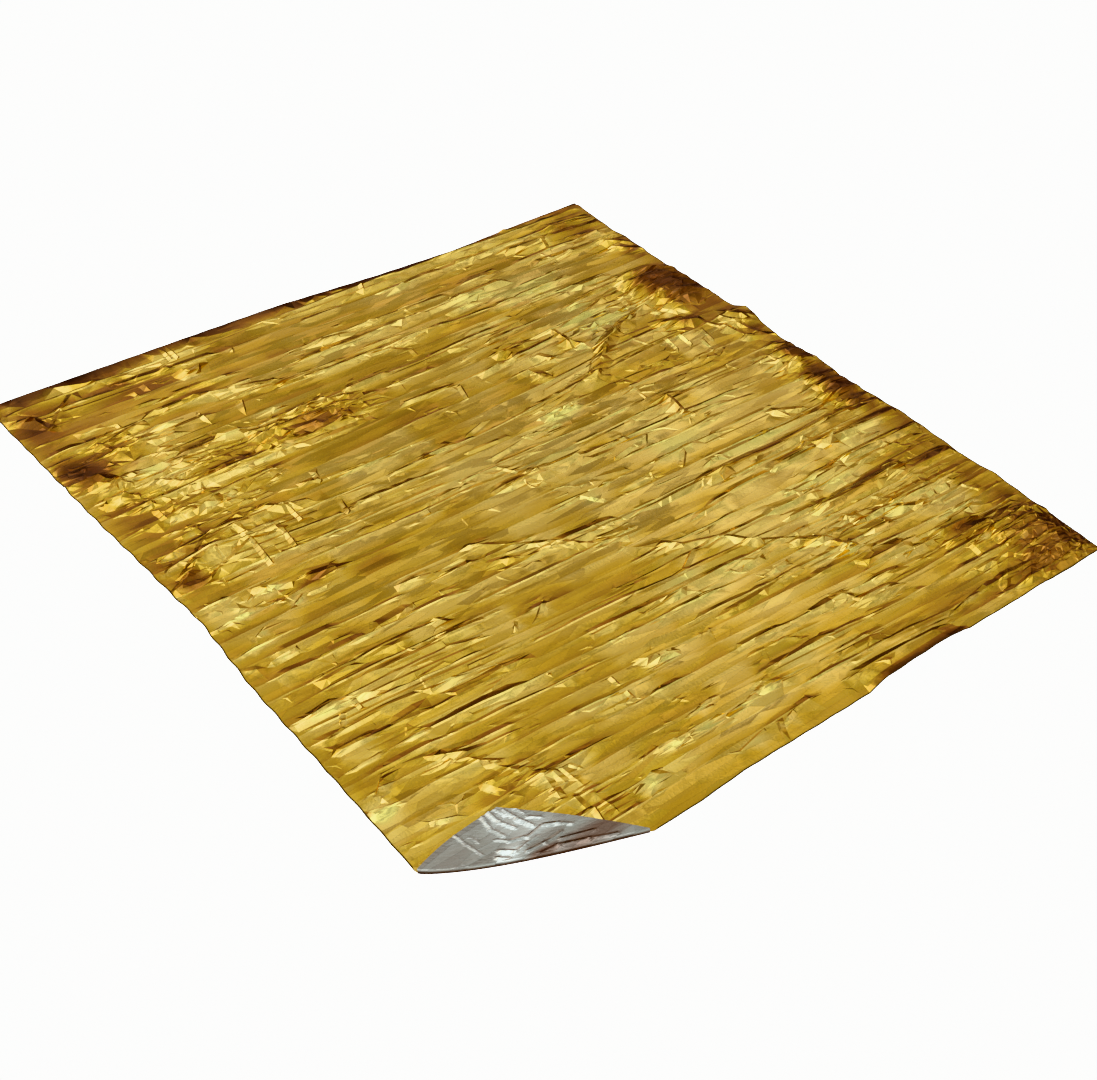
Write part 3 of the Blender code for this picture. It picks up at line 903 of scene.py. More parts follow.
# The folds of the turned corner
FLAP_FOLDS = table(Fold, """
    # the fan below the tip
    -697 -722 -693 -748 1.3 5 4
    -693 -750 -684 -786 1.1 4 4
    -678 -742 -674 -760 0.7 5 4
    -636 -716 -640 -748 1.5 6 5
    -640 -748 -630 -776 1.2 7 5
    -622 -712 -619 -744 2.2 8 5
    -619 -744 -606 -770 1.7 6 5
    -608 -718 -602 -738 1.4 5 4
    -598 -726 -590 -756 1.9 7 5
    -590 -756 -578 -784 2.4 9 5
    -582 -728 -574 -752 1.2 5 4
    -572 -764 -556 -778 1.5 6 5
    # the crumple in the middle
    -648 -772 -634 -784 1.4 5 4
    -632 -788 -604 -796 1.2 6 5
    -600 -800 -568 -794 2.0 9 5
    -612 -810 -586 -808 1.2 6 5
    -562 -794 -540 -806 1.8 8 5
    -540 -806 -522 -822 1.4 6 5
    # the white crumple at the turn
    -668 -806 -652 -820 2.0 7 5
    -656 -796 -636 -812 2.3 8 5
    -640 -814 -616 -812 2.0 8 5
    # the dull side towards the right
    -620 -824 -584 -828 1.6 6 6
    -584 -828 -548 -826 1.4 6 6
    -606 -842 -570 -846 2.0 7 6
    -570 -846 -520 -866 2.2 8 6
    -520 -866 -474 -886 1.8 7 6
    -560 -836 -500 -856 1.4 6 5
""")
FLAP_BULGE = 0.014  # how far the turned corner's two free sides bow outwards
FLAP_GRAIN = 0.00012
ZONE_EASE = 0.35  # a zone of crumple fades over this share of its half widths
TONE_SPREAD = 1.3  # a zone of painted light fades out at this many half widths

# ---------------------------------------------------------------- how the colour and its painted light vary
TONE_SEED = 8
TONE_MOST = 2.0
DEEP_TONE, DEEP_SHARE = (-2.0, -1.2), (0.45, 1.0)  # where the painted shade of a zone is deep, the rest shows less
# For the stretches of each strip between two crests
STRIP_TONES = ((-0.35, -0.15), (-0.10, 0.1), (0.1, 0.35), (0.35, 0.75))
STRIPS_START, STRIPS_END = -0.91, 0.93  # the y where the first strip starts and the last one ends
# Across a strip, from the pleat in front of it (0) to the next crest (1), painted shading makes the
# foil grow paler
ACROSS_STRIP = (0.0, 0.15, 0.6, 1.0)
ACROSS_PAINTED_SHADING = (-0.32, -0.08, 0.12, 0.45)
# Painted light by how a side faces: one that faces the far right gets painted shade and one that faces
# the near left a painted highlight
SHADED_SIDE = (0.707, 0.707)
FACING = (-0.30, -0.10, -0.04, 0.04, 0.10, 0.22)
FACING_PAINTED_LIGHT = (0.40, 0.22, 0.06, -0.10, -0.40, -1.15)
GLINT_FACING = 0.1  # a glint's painted highlight shows only where the foil faces the shaded side less than this

# ---------------------------------------------------------------- how the long pleats vary
FINE_SEED = 5
NODE_STRAY, KINK_STRAY = 0.35, 0.4  # how far a node or kink strays, in shares of their spacing
KINK_SPACING = 0.033
FINE_KINK = 0.0013
FIRST_GAP = 0.05  # behind the farthest pleat
BRICK_LEAST, BRICK_MOST = 0.045, 0.16  # how long a pleat keeps its rise
BRICK_STEP = 0.016  # and over what length it changes
BRICK_DRIFT = (0.8, 1.2)  # what the rise is multiplied by at the end of that length
BRICK_RISES = ((0.0, 0.15), (0.1, 0.35), (0.2, 0.5), (0.4, 0.9))  # shares of the pleat's rise
BEAD_REACH = 0.0034  # a bead is the last steep bit in front of a crest
BEAD_RISES = ((0.0, 0.0), (0.0, 0.0003), (0.0003, 0.0010), (0.0009, 0.0018))
EDGE_CALM = 0.2  # what is left of the pleats' height at the very edge
EDGE_EASE = 0.050
TALL, TALL_SHARE = 0.025, 0.35  # what stands higher than this keeps this share of the rest
GRAIN = 0.00010  # random height of each corner, in metres, where the foil is as usual
TINY = 1e-6

# ---------------------------------------------------------------- the smaller folds
INNER_HALF, STATIONS = 0.82, 165  # how far out and at how many places the crests are read off
# Short pleats: where they start and end, in metres
MINOR_HALF, MINOR_FIRST, MINOR_LAST = 0.80, 0.3, 0.03
MINOR_LENGTHS, MINOR_APART = (0.06, 0.40), (-0.02, 0.22)
MINOR_GAP = 0.018  # the least gap between two crests that has room for one
# and their place in that gap, in shares of it
MINOR_LEVELS, MINOR_STAGGER, MINOR_DRIFT = (0.2, 0.55), 0.3, 0.15
MINOR_LOWEST, MINOR_HIGHEST = 0.15, 0.88
MINOR_RISES, MINOR_STEEP = (0.4, 1.9), (4.5, 6.0, 9.0, 12.0)  # millimetres
MINOR_GENTLE = (0.25, 0.6)  # shares of the gap
# Ticks across the pleats: where they start and end and how far apart they are, in metres
TICK_HALF, TICK_LAST, TICK_APART = 0.79, 0.01, (0.07, 0.5)
TICK_LEAN, TICK_TOPS = 0.6, (1.0, 1.0, 0.7, 0.55)  # shares of the gap between two crests
TICK_NARROW, TICK_WIDE = ((0.6, 1.7), (3.5, 7)), ((0.3, 1.1), (12, 38))  # rise and gentle side, mm
TICK_STEEP = (2.5, 5)
# Wrinkles of the crumple, in millimetres and radians
WRINKLE_AREA = 480.0  # square millimetres of half widths for each wrinkle
WRINKLE_OUT = 1.1  # they reach out to this many half widths
WRINKLE_LEAN, WRINKLE_KINK = 0.35, 0.6
WRINKLE_RISES, WRINKLE_LENGTHS = (0.5, 1.5), (9, 36)
WRINKLE_GENTLE, WRINKLE_STEEP = (5, 13), (2, 4.5)
# Small stray folds: where they are strewn, how many, how far they lean out of the pleats'
# direction, in radians, how they are turned (at 0 most are steep on the side of the light, at 180
# on the side that is dark), and how many times longer and higher than the smallest they are
Strewing = namedtuple("Strewing", "x y half_x half_y count lean turn longer higher")
STREWN = table(Strewing, """
    5 10 785 890 560 0.5 0 1 1
    715 -800 75 90 170 2.5 0 1 1
    540 -350 210 320 26 0.08 180 2.6 2.2
    690 415 50 90 34 0.3 180 1.5 2.6
    725 -80 36 130 26 0.2 180 1.3 2.4
    -650 560 90 100 14 0.5 180 1.6 2.6
    -270 462 150 60 30 0.5 180 1.6 2.6
    0 -60 640 700 40 0.12 180 2.2 1.8
""")
FLECK_SEED = 3
FLECK_LENGTHS, FLECK_RISES = (8, 30), (0.7, 1.4)
FLECK_GENTLE, FLECK_STEEP, FLECK_KINK = (5, 10), (2.8, 3.6), (0.4, 1.0)

# ---------------------------------------------------------------- the mesh
# Rows of corners: how close the corners are, and how far apart two may be and still be joined
Rows = namedtuple("Rows", "spacing reach")
CREASE_ROWS, FINE_ROWS, PLEAT_ROWS = Rows(0.020, 0.5), Rows(0.016, 0.06), Rows(0.024, 0.075)
MINOR_ROWS, TICK_ROWS, CRUMPLE_ROWS = Rows(0.045, 0.12), Rows(0.030, 0.1), Rows(0.020, 0.05)
ROWS_START, ROWS_END = -0.86, 0.84  # of the rows along the pleats
ROW_STEPS = (0.55, 1.25)  # between their corners, in shares of the spacing
LEAST_GAP = 0.0028  # between two corners of the mesh
ROWS_MARGIN, FILL_MARGIN = 0.004, 0.006  # between a row or a strewn corner and the edge
FILL_HALF, FILL_SPAN = 0.84, (-0.93, 0.95)  # where corners are strewn, along x and along y
FILL_SPACING, FILL_STRAY = 0.009, 0.45  # the stray is a share of the spacing
FILL_STRETCH = 1.8  # the strewn corners lie further apart along the pleats
FILL_LIVE, FILL_KEEP = (0, 1, 2, 3), (0.01, 0.05, 0.2, 0.4)  # the share kept, by the crumple
INSIDE_ONLY, MERGED = 1, 1e-5  # the triangulation keeps what is inside, and merges what is closer
RIM_WIDTH = 0.0030  # of the line of painted shade along the cut edge
RIM_SHARE = 0.72  # a triangle is in the rim if its middle is within this share of the width
SHARP_ANGLE = 10.0
# the edge slot holds the cut edge and the line of painted shade inside it
GOLD_SLOT, SILVER_SLOT, EDGE_AND_SHADE_SLOT = range(3)

# ---------------------------------------------------------------- the materials and the studio
# The finest crinkle: long small facets, each tilted a little its own way
FACETS_PER_METRE = (11.0, 62.0)  # along x and along y
FACET_TILT = (1.0, 0.5)
FACET_HEIGHT = 0.0055
CRINKLE_LIVE = (0.0, 0.5, 1.0, 2.0)  # how crumpled the foil is, and how strong its crinkle then is
CRINKLE = (0.05, 0.25, 0.75, 1.5)
FLAP_CRINKLE = 1.2
STREAKS, PATCHES = (7.0, 150.0, 40.0), (4.0, 42.0, 5.0)  # in a metre of x, y and z
PATCH_TONE = 0.16  # how much paler or browner the patches are
CRACKLE, CRACKLE_WIDTH = 95.0, 0.25  # cells in a metre, and the width of the grooves round them
FLOOR_HALF = 9.0
BACKDROP_LIGHT = 3.0  # of the floor and the sky as the camera sees them

# The studio's light by elevation, in degrees: its colour there
Sky = namedtuple("Sky", "elevation red green blue")
SKY = table(Sky, """
    0 0.090 0.052 0.042
    10 0.16 0.104 0.086
    22 0.48 0.41 0.34
    32 0.60 0.56 0.50
    48 0.67 0.68 0.63
    64 0.76 0.83 0.79
    78 1.60 1.78 1.78
    90 1.35 1.48 1.48
""")
# A second soft panel, off to the side: the middle of it and how wide it is, in degrees
PANEL_HEADING = -14.0  # from +Y towards +X
PANEL_ELEVATION = 52.0
PANEL_CORE = 11.0
PANEL_FADE = 20.0
PANEL_LIGHT = 1.3


def edge_line(name):
    """The corners and points of a side, in order along it."""
    side = SIDES[name]
    points = [row[::-1] if side.upright else row for row in map(tuple, side.points)]
    return np.array([side.first, *points, side.last])


def edge_points(name):
    """Points from one corner to the next along a side, the last corner left out."""
    line = edge_line(name)[::-1] if SIDES[name].high else edge_line(name)
    steps = np.linalg.norm(np.diff(line, axis=0), axis=1)
    reached = np.concatenate([[0.0], np.cumsum(steps)])
    count = max(2, round(reached[-1] / EDGE_SPACING))
    stops = np.arange(count) / count * reached[-1]
    x, y = (np.interp(stops, reached, part) for part in line.T)
    fade = np.sin(np.pi * stops / reached[-1]) ** 0.5
    ripple = EDGE_RIPPLE * np.sin(2 * np.pi * stops / EDGE_RIPPLE_LENGTH) * fade
    if SIDES[name].upright:
        return np.column_stack([x + ripple, y])
    return np.column_stack([x, y + LONG_EDGE_RIPPLE * ripple])


def turn_line():
    """Points along the fold of the turned corner, and the outward direction."""
    start, end = np.array(TURN_LEFT), np.array(TURN_RIGHT)
    along = end - start
    outward = np.array([along[1], -along[0]]) / np.linalg.norm(along)
    share = np.linspace(0, 1, FLAP_ROWS + 1)
    power = math.log(0.5) / math.log(TURN_BOW_PEAK)
    bow = TURN_BOW * np.sin(np.pi * share**power)
    line = start + share[:, None] * along + bow[:, None] * outward
    return line - NOSE_RADIUS * outward, outward


def outline():
    """The outline as a closed loop, and the slice of it that is the turned corner's fold."""
    left, front, right, far = (edge_points(name) for name in SIDES)
    turn, _ = turn_line()
    loop = np.concatenate([left, turn, front[1:], right, far])
    return loop, slice(len(left), len(left) + FLAP_ROWS + 1)


def cut_edge():
    """The outline without the turned corner's fold, from one end of it round to the other."""
    loop, fold = outline()
    return np.roll(loop, -fold.stop, axis=0)[: len(loop) - (fold.stop - fold.start)]


def edge_at(name, place):
    """Where a side's edge lies, across the side, at these places along it."""
    line = edge_line(name)
    along, across = (line[:, ::-1] if SIDES[name].upright else line).T
    order = np.argsort(along)
    return np.interp(place, along[order], across[order])


def inside_edge(name, x, y):
    """How far inside the named side each point lies, and its place along the side."""
    place, across = (y, x) if SIDES[name].upright else (x, y)
    outward = 1 if SIDES[name].high else -1
    return outward * (edge_at(name, place) - across), place


def pleat_lines(x):
    """For each pleat at each x: its crest's y, its rise, its steep far side's width, its bead."""
    draw, fine = random.Random(PLEAT_SEED), random.Random(FINE_SEED)
    crests, rises, beads = [], [], []
    nodes = np.arange(-1.0, 1.0 + NODE_SPACING, NODE_SPACING)
    fine_nodes = np.arange(-1.0, 1.0, KINK_SPACING)
    for row in PLEATS:
        crest = np.interp(x, CREST_STATIONS, np.array([row.y_left, row.y_mid, row.y_right]) * MM)
        heights = np.array([row.rise_left, row.rise_mid, row.rise_right]) * MM
        rise = np.interp(x, CREST_STATIONS, heights)
        places = nodes + [draw.uniform(-NODE_STRAY, NODE_STRAY) * NODE_SPACING for _ in nodes]
        kinks = [draw.uniform(-CREST_KINK, CREST_KINK) for _ in nodes]
        factors = [1 + draw.uniform(-RISE_SPREAD, RISE_SPREAD) for _ in nodes]
        strays = [fine.uniform(-KINK_STRAY, KINK_STRAY) * KINK_SPACING for _ in fine_nodes]
        fine_kinks = [fine.uniform(-FINE_KINK, FINE_KINK) for _ in fine_nodes]
        fine_kinks = np.interp(x, fine_nodes + strays, fine_kinks)
        crests.append(crest + np.interp(x, places, kinks) + fine_kinks)
        brick = brick_factor(x, fine, BRICK_RISES)
        beads.append(brick_factor(x, fine, BEAD_RISES))
        rises.append(rise * PLEAT_RISE_SCALE * np.interp(x, places, factors) * brick)
    crests, rises = np.array(crests), np.array(rises)
    gaps = np.vstack([np.full(x.shape, FIRST_GAP), crests[:-1] - crests[1:]])
    backs = np.minimum(BACK_LEAST + BACK_PER_RISE * rises, BACK_MOST_OF_GAP * gaps)
    return crests, rises, backs, np.array(beads)


def brick_factor(x, draw, ranges):
    """A factor that is drawn anew for each stretch of x, with a short step between two stretches."""
    places, values = [-1.0], [ranges[0][0]]
    while places[-1] < 1.0:
        drawn = draw.uniform(*draw.choice(ranges))
        start = places[-1] + BRICK_STEP
        end = start + draw.uniform(BRICK_LEAST, BRICK_MOST)
        places += [start, end]
        values += [drawn, drawn * draw.uniform(*BRICK_DRIFT)]
    return np.interp(x, places, values)


def pleat_height(x, y):
    """A gentle rise to each crest from the near side and a short steep drop behind it."""
    crests, rises, backs, beads = pleat_lines(x)
    still = np.zeros((1, len(x)))
    crests = np.vstack([edge_at("far", x), crests, np.full(x.shape, -1.0)])
    rises, backs, beads = (np.vstack([still, part, still]) for part in (rises, backs, beads))
    above = (crests > y).sum(axis=0).clip(1, len(crests) - 1)
    column = np.arange(len(x))
    low, back = crests[above, column], backs[above, column]
    low_rise = rises[above, column] + beads[above, column]
    high, high_rise = crests[above - 1, column], rises[above - 1, column]
    past = y - low
    drop = low_rise * (1 - past / np.maximum(back, TINY))
    climb = high_rise * (past - back) / np.maximum(high - low - back, TINY)
    bead = beads[above - 1, column] * (1 - (high - y) / BEAD_REACH).clip(0, 1)
    return np.where(past < back, drop, climb.clip(0, None) + bead)


def ends(row):
    """The two ends of a crease or fold, in metres."""
    return np.array(row[:2]) * MM, np.array(row[2:4]) * MM


def off_segment(x, y, start, end):
    """How far each point is from the segment."""
    along = end - start
    share = ((x - start[0]) * along[0] + (y - start[1]) * along[1]) / (along @ along)
    share = share.clip(0, 1)
    return np.hypot(x - start[0] - share * along[0], y - start[1] - share * along[1])


def off_middle(x, y, row):
    """How far each point is from a row's middle, in its half widths."""
    return np.hypot((x - row.x * MM) / (row.half_x * MM), (y - row.y * MM) / (row.half_y * MM))


def hump(away):
    """1 at the middle, falling softly to 0."""
    return 0.5 + 0.5 * np.cos(np.pi * away.clip(0, 1))


def crease_height(x, y):
    """Ridges and troughs with straight sides, and how strongly a crease holds each point."""
    ridge, trough, hold = np.zeros(x.shape), np.zeros(x.shape), np.zeros(x.shape)
    for row in CREASES:
        reach = row.reach * MM * CREASE_NARROW
        tent = (1 - off_segment(x, y, *ends(row)) / reach).clip(0, 1)
        hold = np.maximum(hold, tent)
        rise = row.rise * MM * CREASE_SHARE
        if row.rise > 0:
            ridge = np.maximum(ridge, rise * tent)
        else:
            trough = np.minimum(trough, rise * tent)
    return ridge + trough, hold


def swell_height(x, y):
    """Broad low swells under the folds."""
    total = np.zeros(x.shape)
    for row in SWELLS:
        total += row.rise * MM * hump(off_middle(x, y, row))
    return total


def lip_height(x, y):
    """The strips beside an edge that stand up and turn down again."""
    total = np.zeros(x.shape)
    for row in LIPS:
        inside, place = inside_edge(row.side, x, y)
        away = inside - row.inset * MM
        away = np.where(away > 0, away / LIP_INSIDE, -away)
        tent = (1 - away / (row.reach * MM)).clip(0, 1)
        ease = np.minimum(place - row.start * MM, row.end * MM - place) / LIP_EASE
        total = np.maximum(total, row.rise * MM * tent * ease.clip(0, 1))
    return total


def pressed(x, y):
    """0 on the patches that lie flat, 1 well away from them."""
    free = np.ones(x.shape)
    for row in FLAT_PATCHES:
        out_x = (np.abs(x - row.x * MM) - row.half_x * MM).clip(0, None)
        out_y = (np.abs(y - row.y * MM) - row.half_y * MM).clip(0, None)
        free = np.minimum(free, (np.hypot(out_x, out_y) / PATCH_EASE).clip(0, 1))
    return free


def side_of(x, y, start, end):
    """Distance from the line through two points, more than 0 on its right-hand side."""
    along = np.array(end) - np.array(start)
    along = along / np.linalg.norm(along)
    return (x - start[0]) * along[1] - (y - start[1]) * along[0]


def ceiling_under_flap(x, y):
    """How high the sheet may stand: it stays low under the turned corner."""
    beyond_left = side_of(x, y, FLAP_TIP, TURN_LEFT)
    beyond_right = side_of(x, y, TURN_RIGHT, FLAP_TIP)
    outside = np.maximum(beyond_left, beyond_right).clip(0, None)
    return UNDER_FLAP + UNDER_FLAP_SLOPE * (outside - UNDER_FLAP_MARGIN).clip(0, None)


def liveliness(x, y):
    """How crumpled the foil is: 1 as usual, near 0 on a smooth panel, 2 to 3 in crumple."""
    live = np.ones(x.shape)
    for row in ZONES:
        share = ((1 + ZONE_EASE - off_middle(x, y, row)) / ZONE_EASE).clip(0, 1)
        if row.strength > 1:
            live = np.maximum(live, 1 + (row.strength - 1) * share)
        else:
            live = np.minimum(live, 1 - (1 - row.strength) * share)
    return live


def zone_painted_light(x, y, zones):
    """Painted light summed from zones: painted shade at -2 darkest and -1 brown or dull, 0 as usual,
    painted highlight at 1 tan and 2 pale.
    """
    total = np.zeros(x.shape)
    for row in zones:
        total += row.strength * hump(off_middle(x, y, row) / TONE_SPREAD)
    return total


def laid_tone_and_painted_light(x, y, strip, share, facing):
    """The laid sheet's colour, from its zone, its strip between two crests and how it faces: painted
    shade and painted highlight from the zones, the far edge, the place across the strip, the facing and
    the glints, and a random step of colour for each strip.
    """
    far, _ = inside_edge("far", x, y)
    # painted shade from the zones and along the far edge
    total = zone_painted_light(x, y, PAINTED_LIGHT_ZONES) - FAR_PAINTED_SHADE_DEPTH * (1 - far / FAR_PAINTED_SHADE).clip(0, 1)
    varied = np.interp(share, ACROSS_STRIP, ACROSS_PAINTED_SHADING) + np.interp(facing, FACING, FACING_PAINTED_LIGHT)
    draw = random.Random(TONE_SEED)
    for k in range(len(PLEATS) + 1):
        here = strip == k
        varied[here] += brick_factor(x[here], draw, STRIP_TONES)
    # painted highlight on each glint
    varied += zone_painted_light(x, y, glint_painted_highlights()) * (facing < GLINT_FACING)
    return total + varied * np.interp(total, DEEP_TONE, DEEP_SHARE)


def fold_height(x, y, folds):
    """The height that the fine folds add: each has a gentle side and a steep one."""
    total = np.zeros(x.shape)
    order = np.argsort(x)
    sorted_x = x[order]
    for row in folds:
        (x0, y0), (x1, y1) = ends(row)
        reach = max(row.gentle, row.steep) * MM
        first = np.searchsorted(sorted_x, min(x0, x1) - reach)
        last = np.searchsorted(sorted_x, max(x0, x1) + reach)
        near = order[first:last]
        near = near[(y[near] > min(y0, y1) - reach) & (y[near] < max(y0, y1) + reach)]
        px, py = x[near] - x0, y[near] - y0
        ux, uy = x1 - x0, y1 - y0
        length = math.hypot(ux, uy)
        along = (px * ux + py * uy) / length
        right = (px * uy - py * ux) / length
        beyond = np.maximum(-along, along - length).clip(0, None)
        side = np.where(right > 0, right / (row.gentle * MM), -right / (row.steep * MM))
        away = np.hypot(side, beyond / (0.5 * (row.gentle + row.steep) * MM))
        total[near] += row.rise * MM * (1 - away).clip(0, 1)
    return total


def glint_folds():
    """The fold under each glint: its gentle side is the bright facet."""
    folds = []
    for row in GLINTS:
        lean = math.radians(row.lean)
        along = row.half_x * math.cos(lean), row.half_x * math.sin(lean)
        top_x, top_y = row.x - row.half_y * math.sin(lean), row.y + row.half_y * math.cos(lean)
        line = (top_x - along[0], top_y - along[1], top_x + along[0], top_y + along[1])
        wide = 2 * row.half_y
        folds.append(Fold(*line, GLINT_SLOPE * wide, wide, GLINT_BACK))
    return folds


def glint_painted_highlights():
    """The painted highlight on each glint."""
    zones = []
    for row in GLINTS:
        lean = math.radians(row.lean)
        half_x = math.hypot(row.half_x * math.cos(lean), row.half_y * math.sin(lean))
        half_y = math.hypot(row.half_x * math.sin(lean), row.half_y * math.cos(lean))
        zones.append(Zone(row.x, row.y, half_x, half_y, GLINT_PAINTED_HIGHLIGHT))
    return zones


def short_pleats(draw):
    """Short shallow pleats between the long ones."""
    stations = np.linspace(-INNER_HALF, INNER_HALF, STATIONS)
    crests = pleat_lines(stations)[0]
    folds = []
    for upper, lower in zip(crests[:-1], crests[1:]):
        for level in MINOR_LEVELS:
            x = -MINOR_HALF + draw.uniform(0, MINOR_FIRST)
            while x < MINOR_HALF - MINOR_LAST:
                x_end = min(x + draw.uniform(*MINOR_LENGTHS), MINOR_HALF)
                share_start = level + draw.uniform(0, MINOR_STAGGER)
                share_end = share_start + draw.uniform(-MINOR_DRIFT, MINOR_DRIFT)
                share_end = min(max(share_end, MINOR_LOWEST), MINOR_HIGHEST)
                ys = []
                for place, share in ((x, share_start), (x_end, share_end)):
                    low, high = np.interp(place, stations, lower), np.interp(place, stations, upper)
                    ys.append(low + share * (high - low))
                gap = high - low
                if gap > MINOR_GAP:
                    rise = draw.uniform(*MINOR_RISES)
                    gentle = draw.uniform(*MINOR_GENTLE) * gap / MM
                    row = (x / MM, ys[0] / MM, x_end / MM, ys[1] / MM)
                    folds.append(Fold(*row, rise, gentle, draw.choice(MINOR_STEEP)))
                x = x_end + draw.uniform(*MINOR_APART)
    return folds


def ticks(draw):
    """Short folds across the pleats, each like the joint between two bricks."""
    stations = np.linspace(-INNER_HALF, INNER_HALF, STATIONS)
    crests, _, backs, _ = pleat_lines(stations)
    folds = []
    for upper, lower in zip(crests[:-1], crests[1:] + backs[1:]):
        x = -TICK_HALF + draw.uniform(0, TICK_APART[1])
        while x < TICK_HALF - TICK_LAST:
            high, low = np.interp(x, stations, upper), np.interp(x, stations, lower)
            gap = high - low
            lean = draw.uniform(-TICK_LEAN, TICK_LEAN) * gap
            rises, gentles = TICK_NARROW if draw.random() < 0.5 else TICK_WIDE
            rise, gentle = draw.uniform(*rises), draw.uniform(*gentles)
            top = low + gap * draw.choice(TICK_TOPS)
            row = (x / MM, low / MM, (x + lean) / MM, top / MM)
            folds.append(Fold(*row, rise, gentle, draw.uniform(*TICK_STEEP)))
            x += draw.uniform(*TICK_APART)
    return folds


def kinked(x, y, heading, steps, *sizes):
    """Folds end to end. A step is how long a fold is and how far the next one turns."""
    folds = []
    for length, turn in steps:
        x_end, y_end = x + length * math.cos(heading), y + length * math.sin(heading)
        folds.append(Fold(x, y, x_end, y_end, *sizes))
        x, y, heading = x_end, y_end, heading + turn
    return folds


def flecks():
    """Small stray folds, strewn over the whole sheet and thickly in the crumpled corner."""
    draw = random.Random(FLECK_SEED)
    folds = []
    for area in [area for area in STREWN for _ in range(int(area.count))]:
        x = area.x + draw.uniform(-1, 1) * area.half_x
        y = area.y + draw.uniform(-1, 1) * area.half_y
        heading = math.radians(area.turn) + draw.gauss(0, area.lean)
        heading += draw.choice((math.pi, math.pi, math.pi, 0))
        rise, gentle = area.higher * draw.uniform(*FLECK_RISES), draw.uniform(*FLECK_GENTLE)
        steep = area.higher * draw.uniform(*FLECK_STEEP)
        steps = []
        for _ in range(draw.choice((1, 1, 2))):
            length = area.longer * draw.uniform(*FLECK_LENGTHS)
            steps.append((length, draw.choice((-1, 1)) * draw.uniform(*FLECK_KINK)))
        folds += kinked(x, y, heading, steps, rise, gentle, steep)
    return folds


def wrinkles(draw):
    """Small kinked folds in every direction, where the foil is crumpled."""
    folds = []
    for zone in ZONES:
        count = int(max(zone.strength - 1, 0) * zone.half_x * zone.half_y / WRINKLE_AREA)
        for _ in range(count):
            angle, out = draw.uniform(0, 2 * math.pi), math.sqrt(draw.random()) * WRINKLE_OUT
            x = zone.x + zone.half_x * out * math.cos(angle)
            y = zone.y + zone.half_y * out * math.sin(angle)
            heading = draw.gauss(0, WRINKLE_LEAN) + draw.choice((0, math.pi))
            rise = draw.uniform(*WRINKLE_RISES) * draw.choice((-1, 1, 1))
            gentle, steep = draw.uniform(*WRINKLE_GENTLE), draw.uniform(*WRINKLE_STEEP)
            steps = [
                (draw.uniform(*WRINKLE_LENGTHS), draw.uniform(-WRINKLE_KINK, WRINKLE_KINK))
                for _ in range(draw.choice((1, 2, 2, 3)))
            ]
            folds += kinked(x, y, heading, steps, rise * zone.strength / 2, gentle, steep)
    return folds


def base_height(x, y):
    """The height of the folds that the solid has too."""
    creases, hold = crease_height(x, y)
    pleats = pleat_height(x, y) * (1 - (1 - PLEAT_KEEP_AT_CREASE) * hold)
    inside = np.min([inside_edge(name, x, y)[0] for name in ("left", "front", "right")], axis=0)
    pleats *= EDGE_CALM + (1 - EDGE_CALM) * (inside / EDGE_EASE).clip(0, 1)
    return pleats + creases + swell_height(x, y) + lip_height(x, y) - SETTLE


def sheet_height(x, y, folds, crumple, grain):
    """The height of the sheet's silver side above the surface it lies on."""
    live = liveliness(x, y)
    fine = fold_height(x, y, FINE_FOLDS) + fold_height(x, y, glint_folds())
    fine += fold_height(x, y, folds) * live.clip(0, 1) + fold_height(x, y, crumple)
    fine += grain * GRAIN * live**2
    height = base_height(x, y) + fine
    height = np.minimum(height, TALL + TALL_SHARE * (height - TALL))
    return np.minimum(height * pressed(x, y), ceiling_under_flap(x, y)).clip(0, None)


def off_line(x, y, line):
    """How far each point is from a line of many segments."""
    near = np.full(x.shape, np.inf)
    for start, end in zip(line, line[1:]):
        near = np.minimum(near, off_segment(x, y, start, end))
    return near


def inside_loop(points, loop, margin):
    """Which points lie inside the loop and at least the margin from it."""
    x, y = points.T
    closed = np.vstack([loop, loop[:1]])
    inside = np.zeros(len(points), bool)
    for (x0, y0), (x1, y1) in zip(closed, closed[1:]):
        crosses = (y0 > y) != (y1 > y)
        at = x0 + (y - y0) * (x1 - x0) / (y1 - y0 if y1 != y0 else 1.0)
        inside ^= crosses & (x < at)
    return inside & (off_line(x, y, closed) > margin)


def pleat_runs(draw):
    """Rows of corners along each crest, along the foot behind it and along the bead before it."""
    runs = []
    for k in range(len(PLEATS)):
        for row in ("crest", "foot", "bead"):
            x = ROWS_START + draw.uniform(0, PLEAT_ROWS.spacing)
            places = []
            while x < ROWS_END:
                places.append(x)
                x += PLEAT_ROWS.spacing * draw.uniform(*ROW_STEPS)
            places = np.array(places)
            crests, _, backs, _ = pleat_lines(places)
            y = crests[k] + {"crest": 0, "foot": backs[k], "bead": -BEAD_REACH}[row]
            runs.append(np.column_stack([places, y]))
    return runs


def top_run(row, rows):
    """A row of corners along the top of a crease or fold."""
    start, end = ends(row)
    steps = max(1, round(np.linalg.norm(end - start) / rows.spacing))
    return start + np.linspace(0, 1, steps + 1)[:, None] * (end - start)


def fold_runs(folds, rows, both_feet=False):
    """Rows of corners along the top of each fold and along the foot of its steep side."""
    runs = []
    for row in folds:
        start, end = ends(row)
        along = end - start
        left = np.array([-along[1], along[0]]) / np.linalg.norm(along)
        top = top_run(row, rows)
        runs += [top, top + left * row.steep * MM]
        if both_feet:
            runs.append(top - left * row.gentle * MM)
    return runs


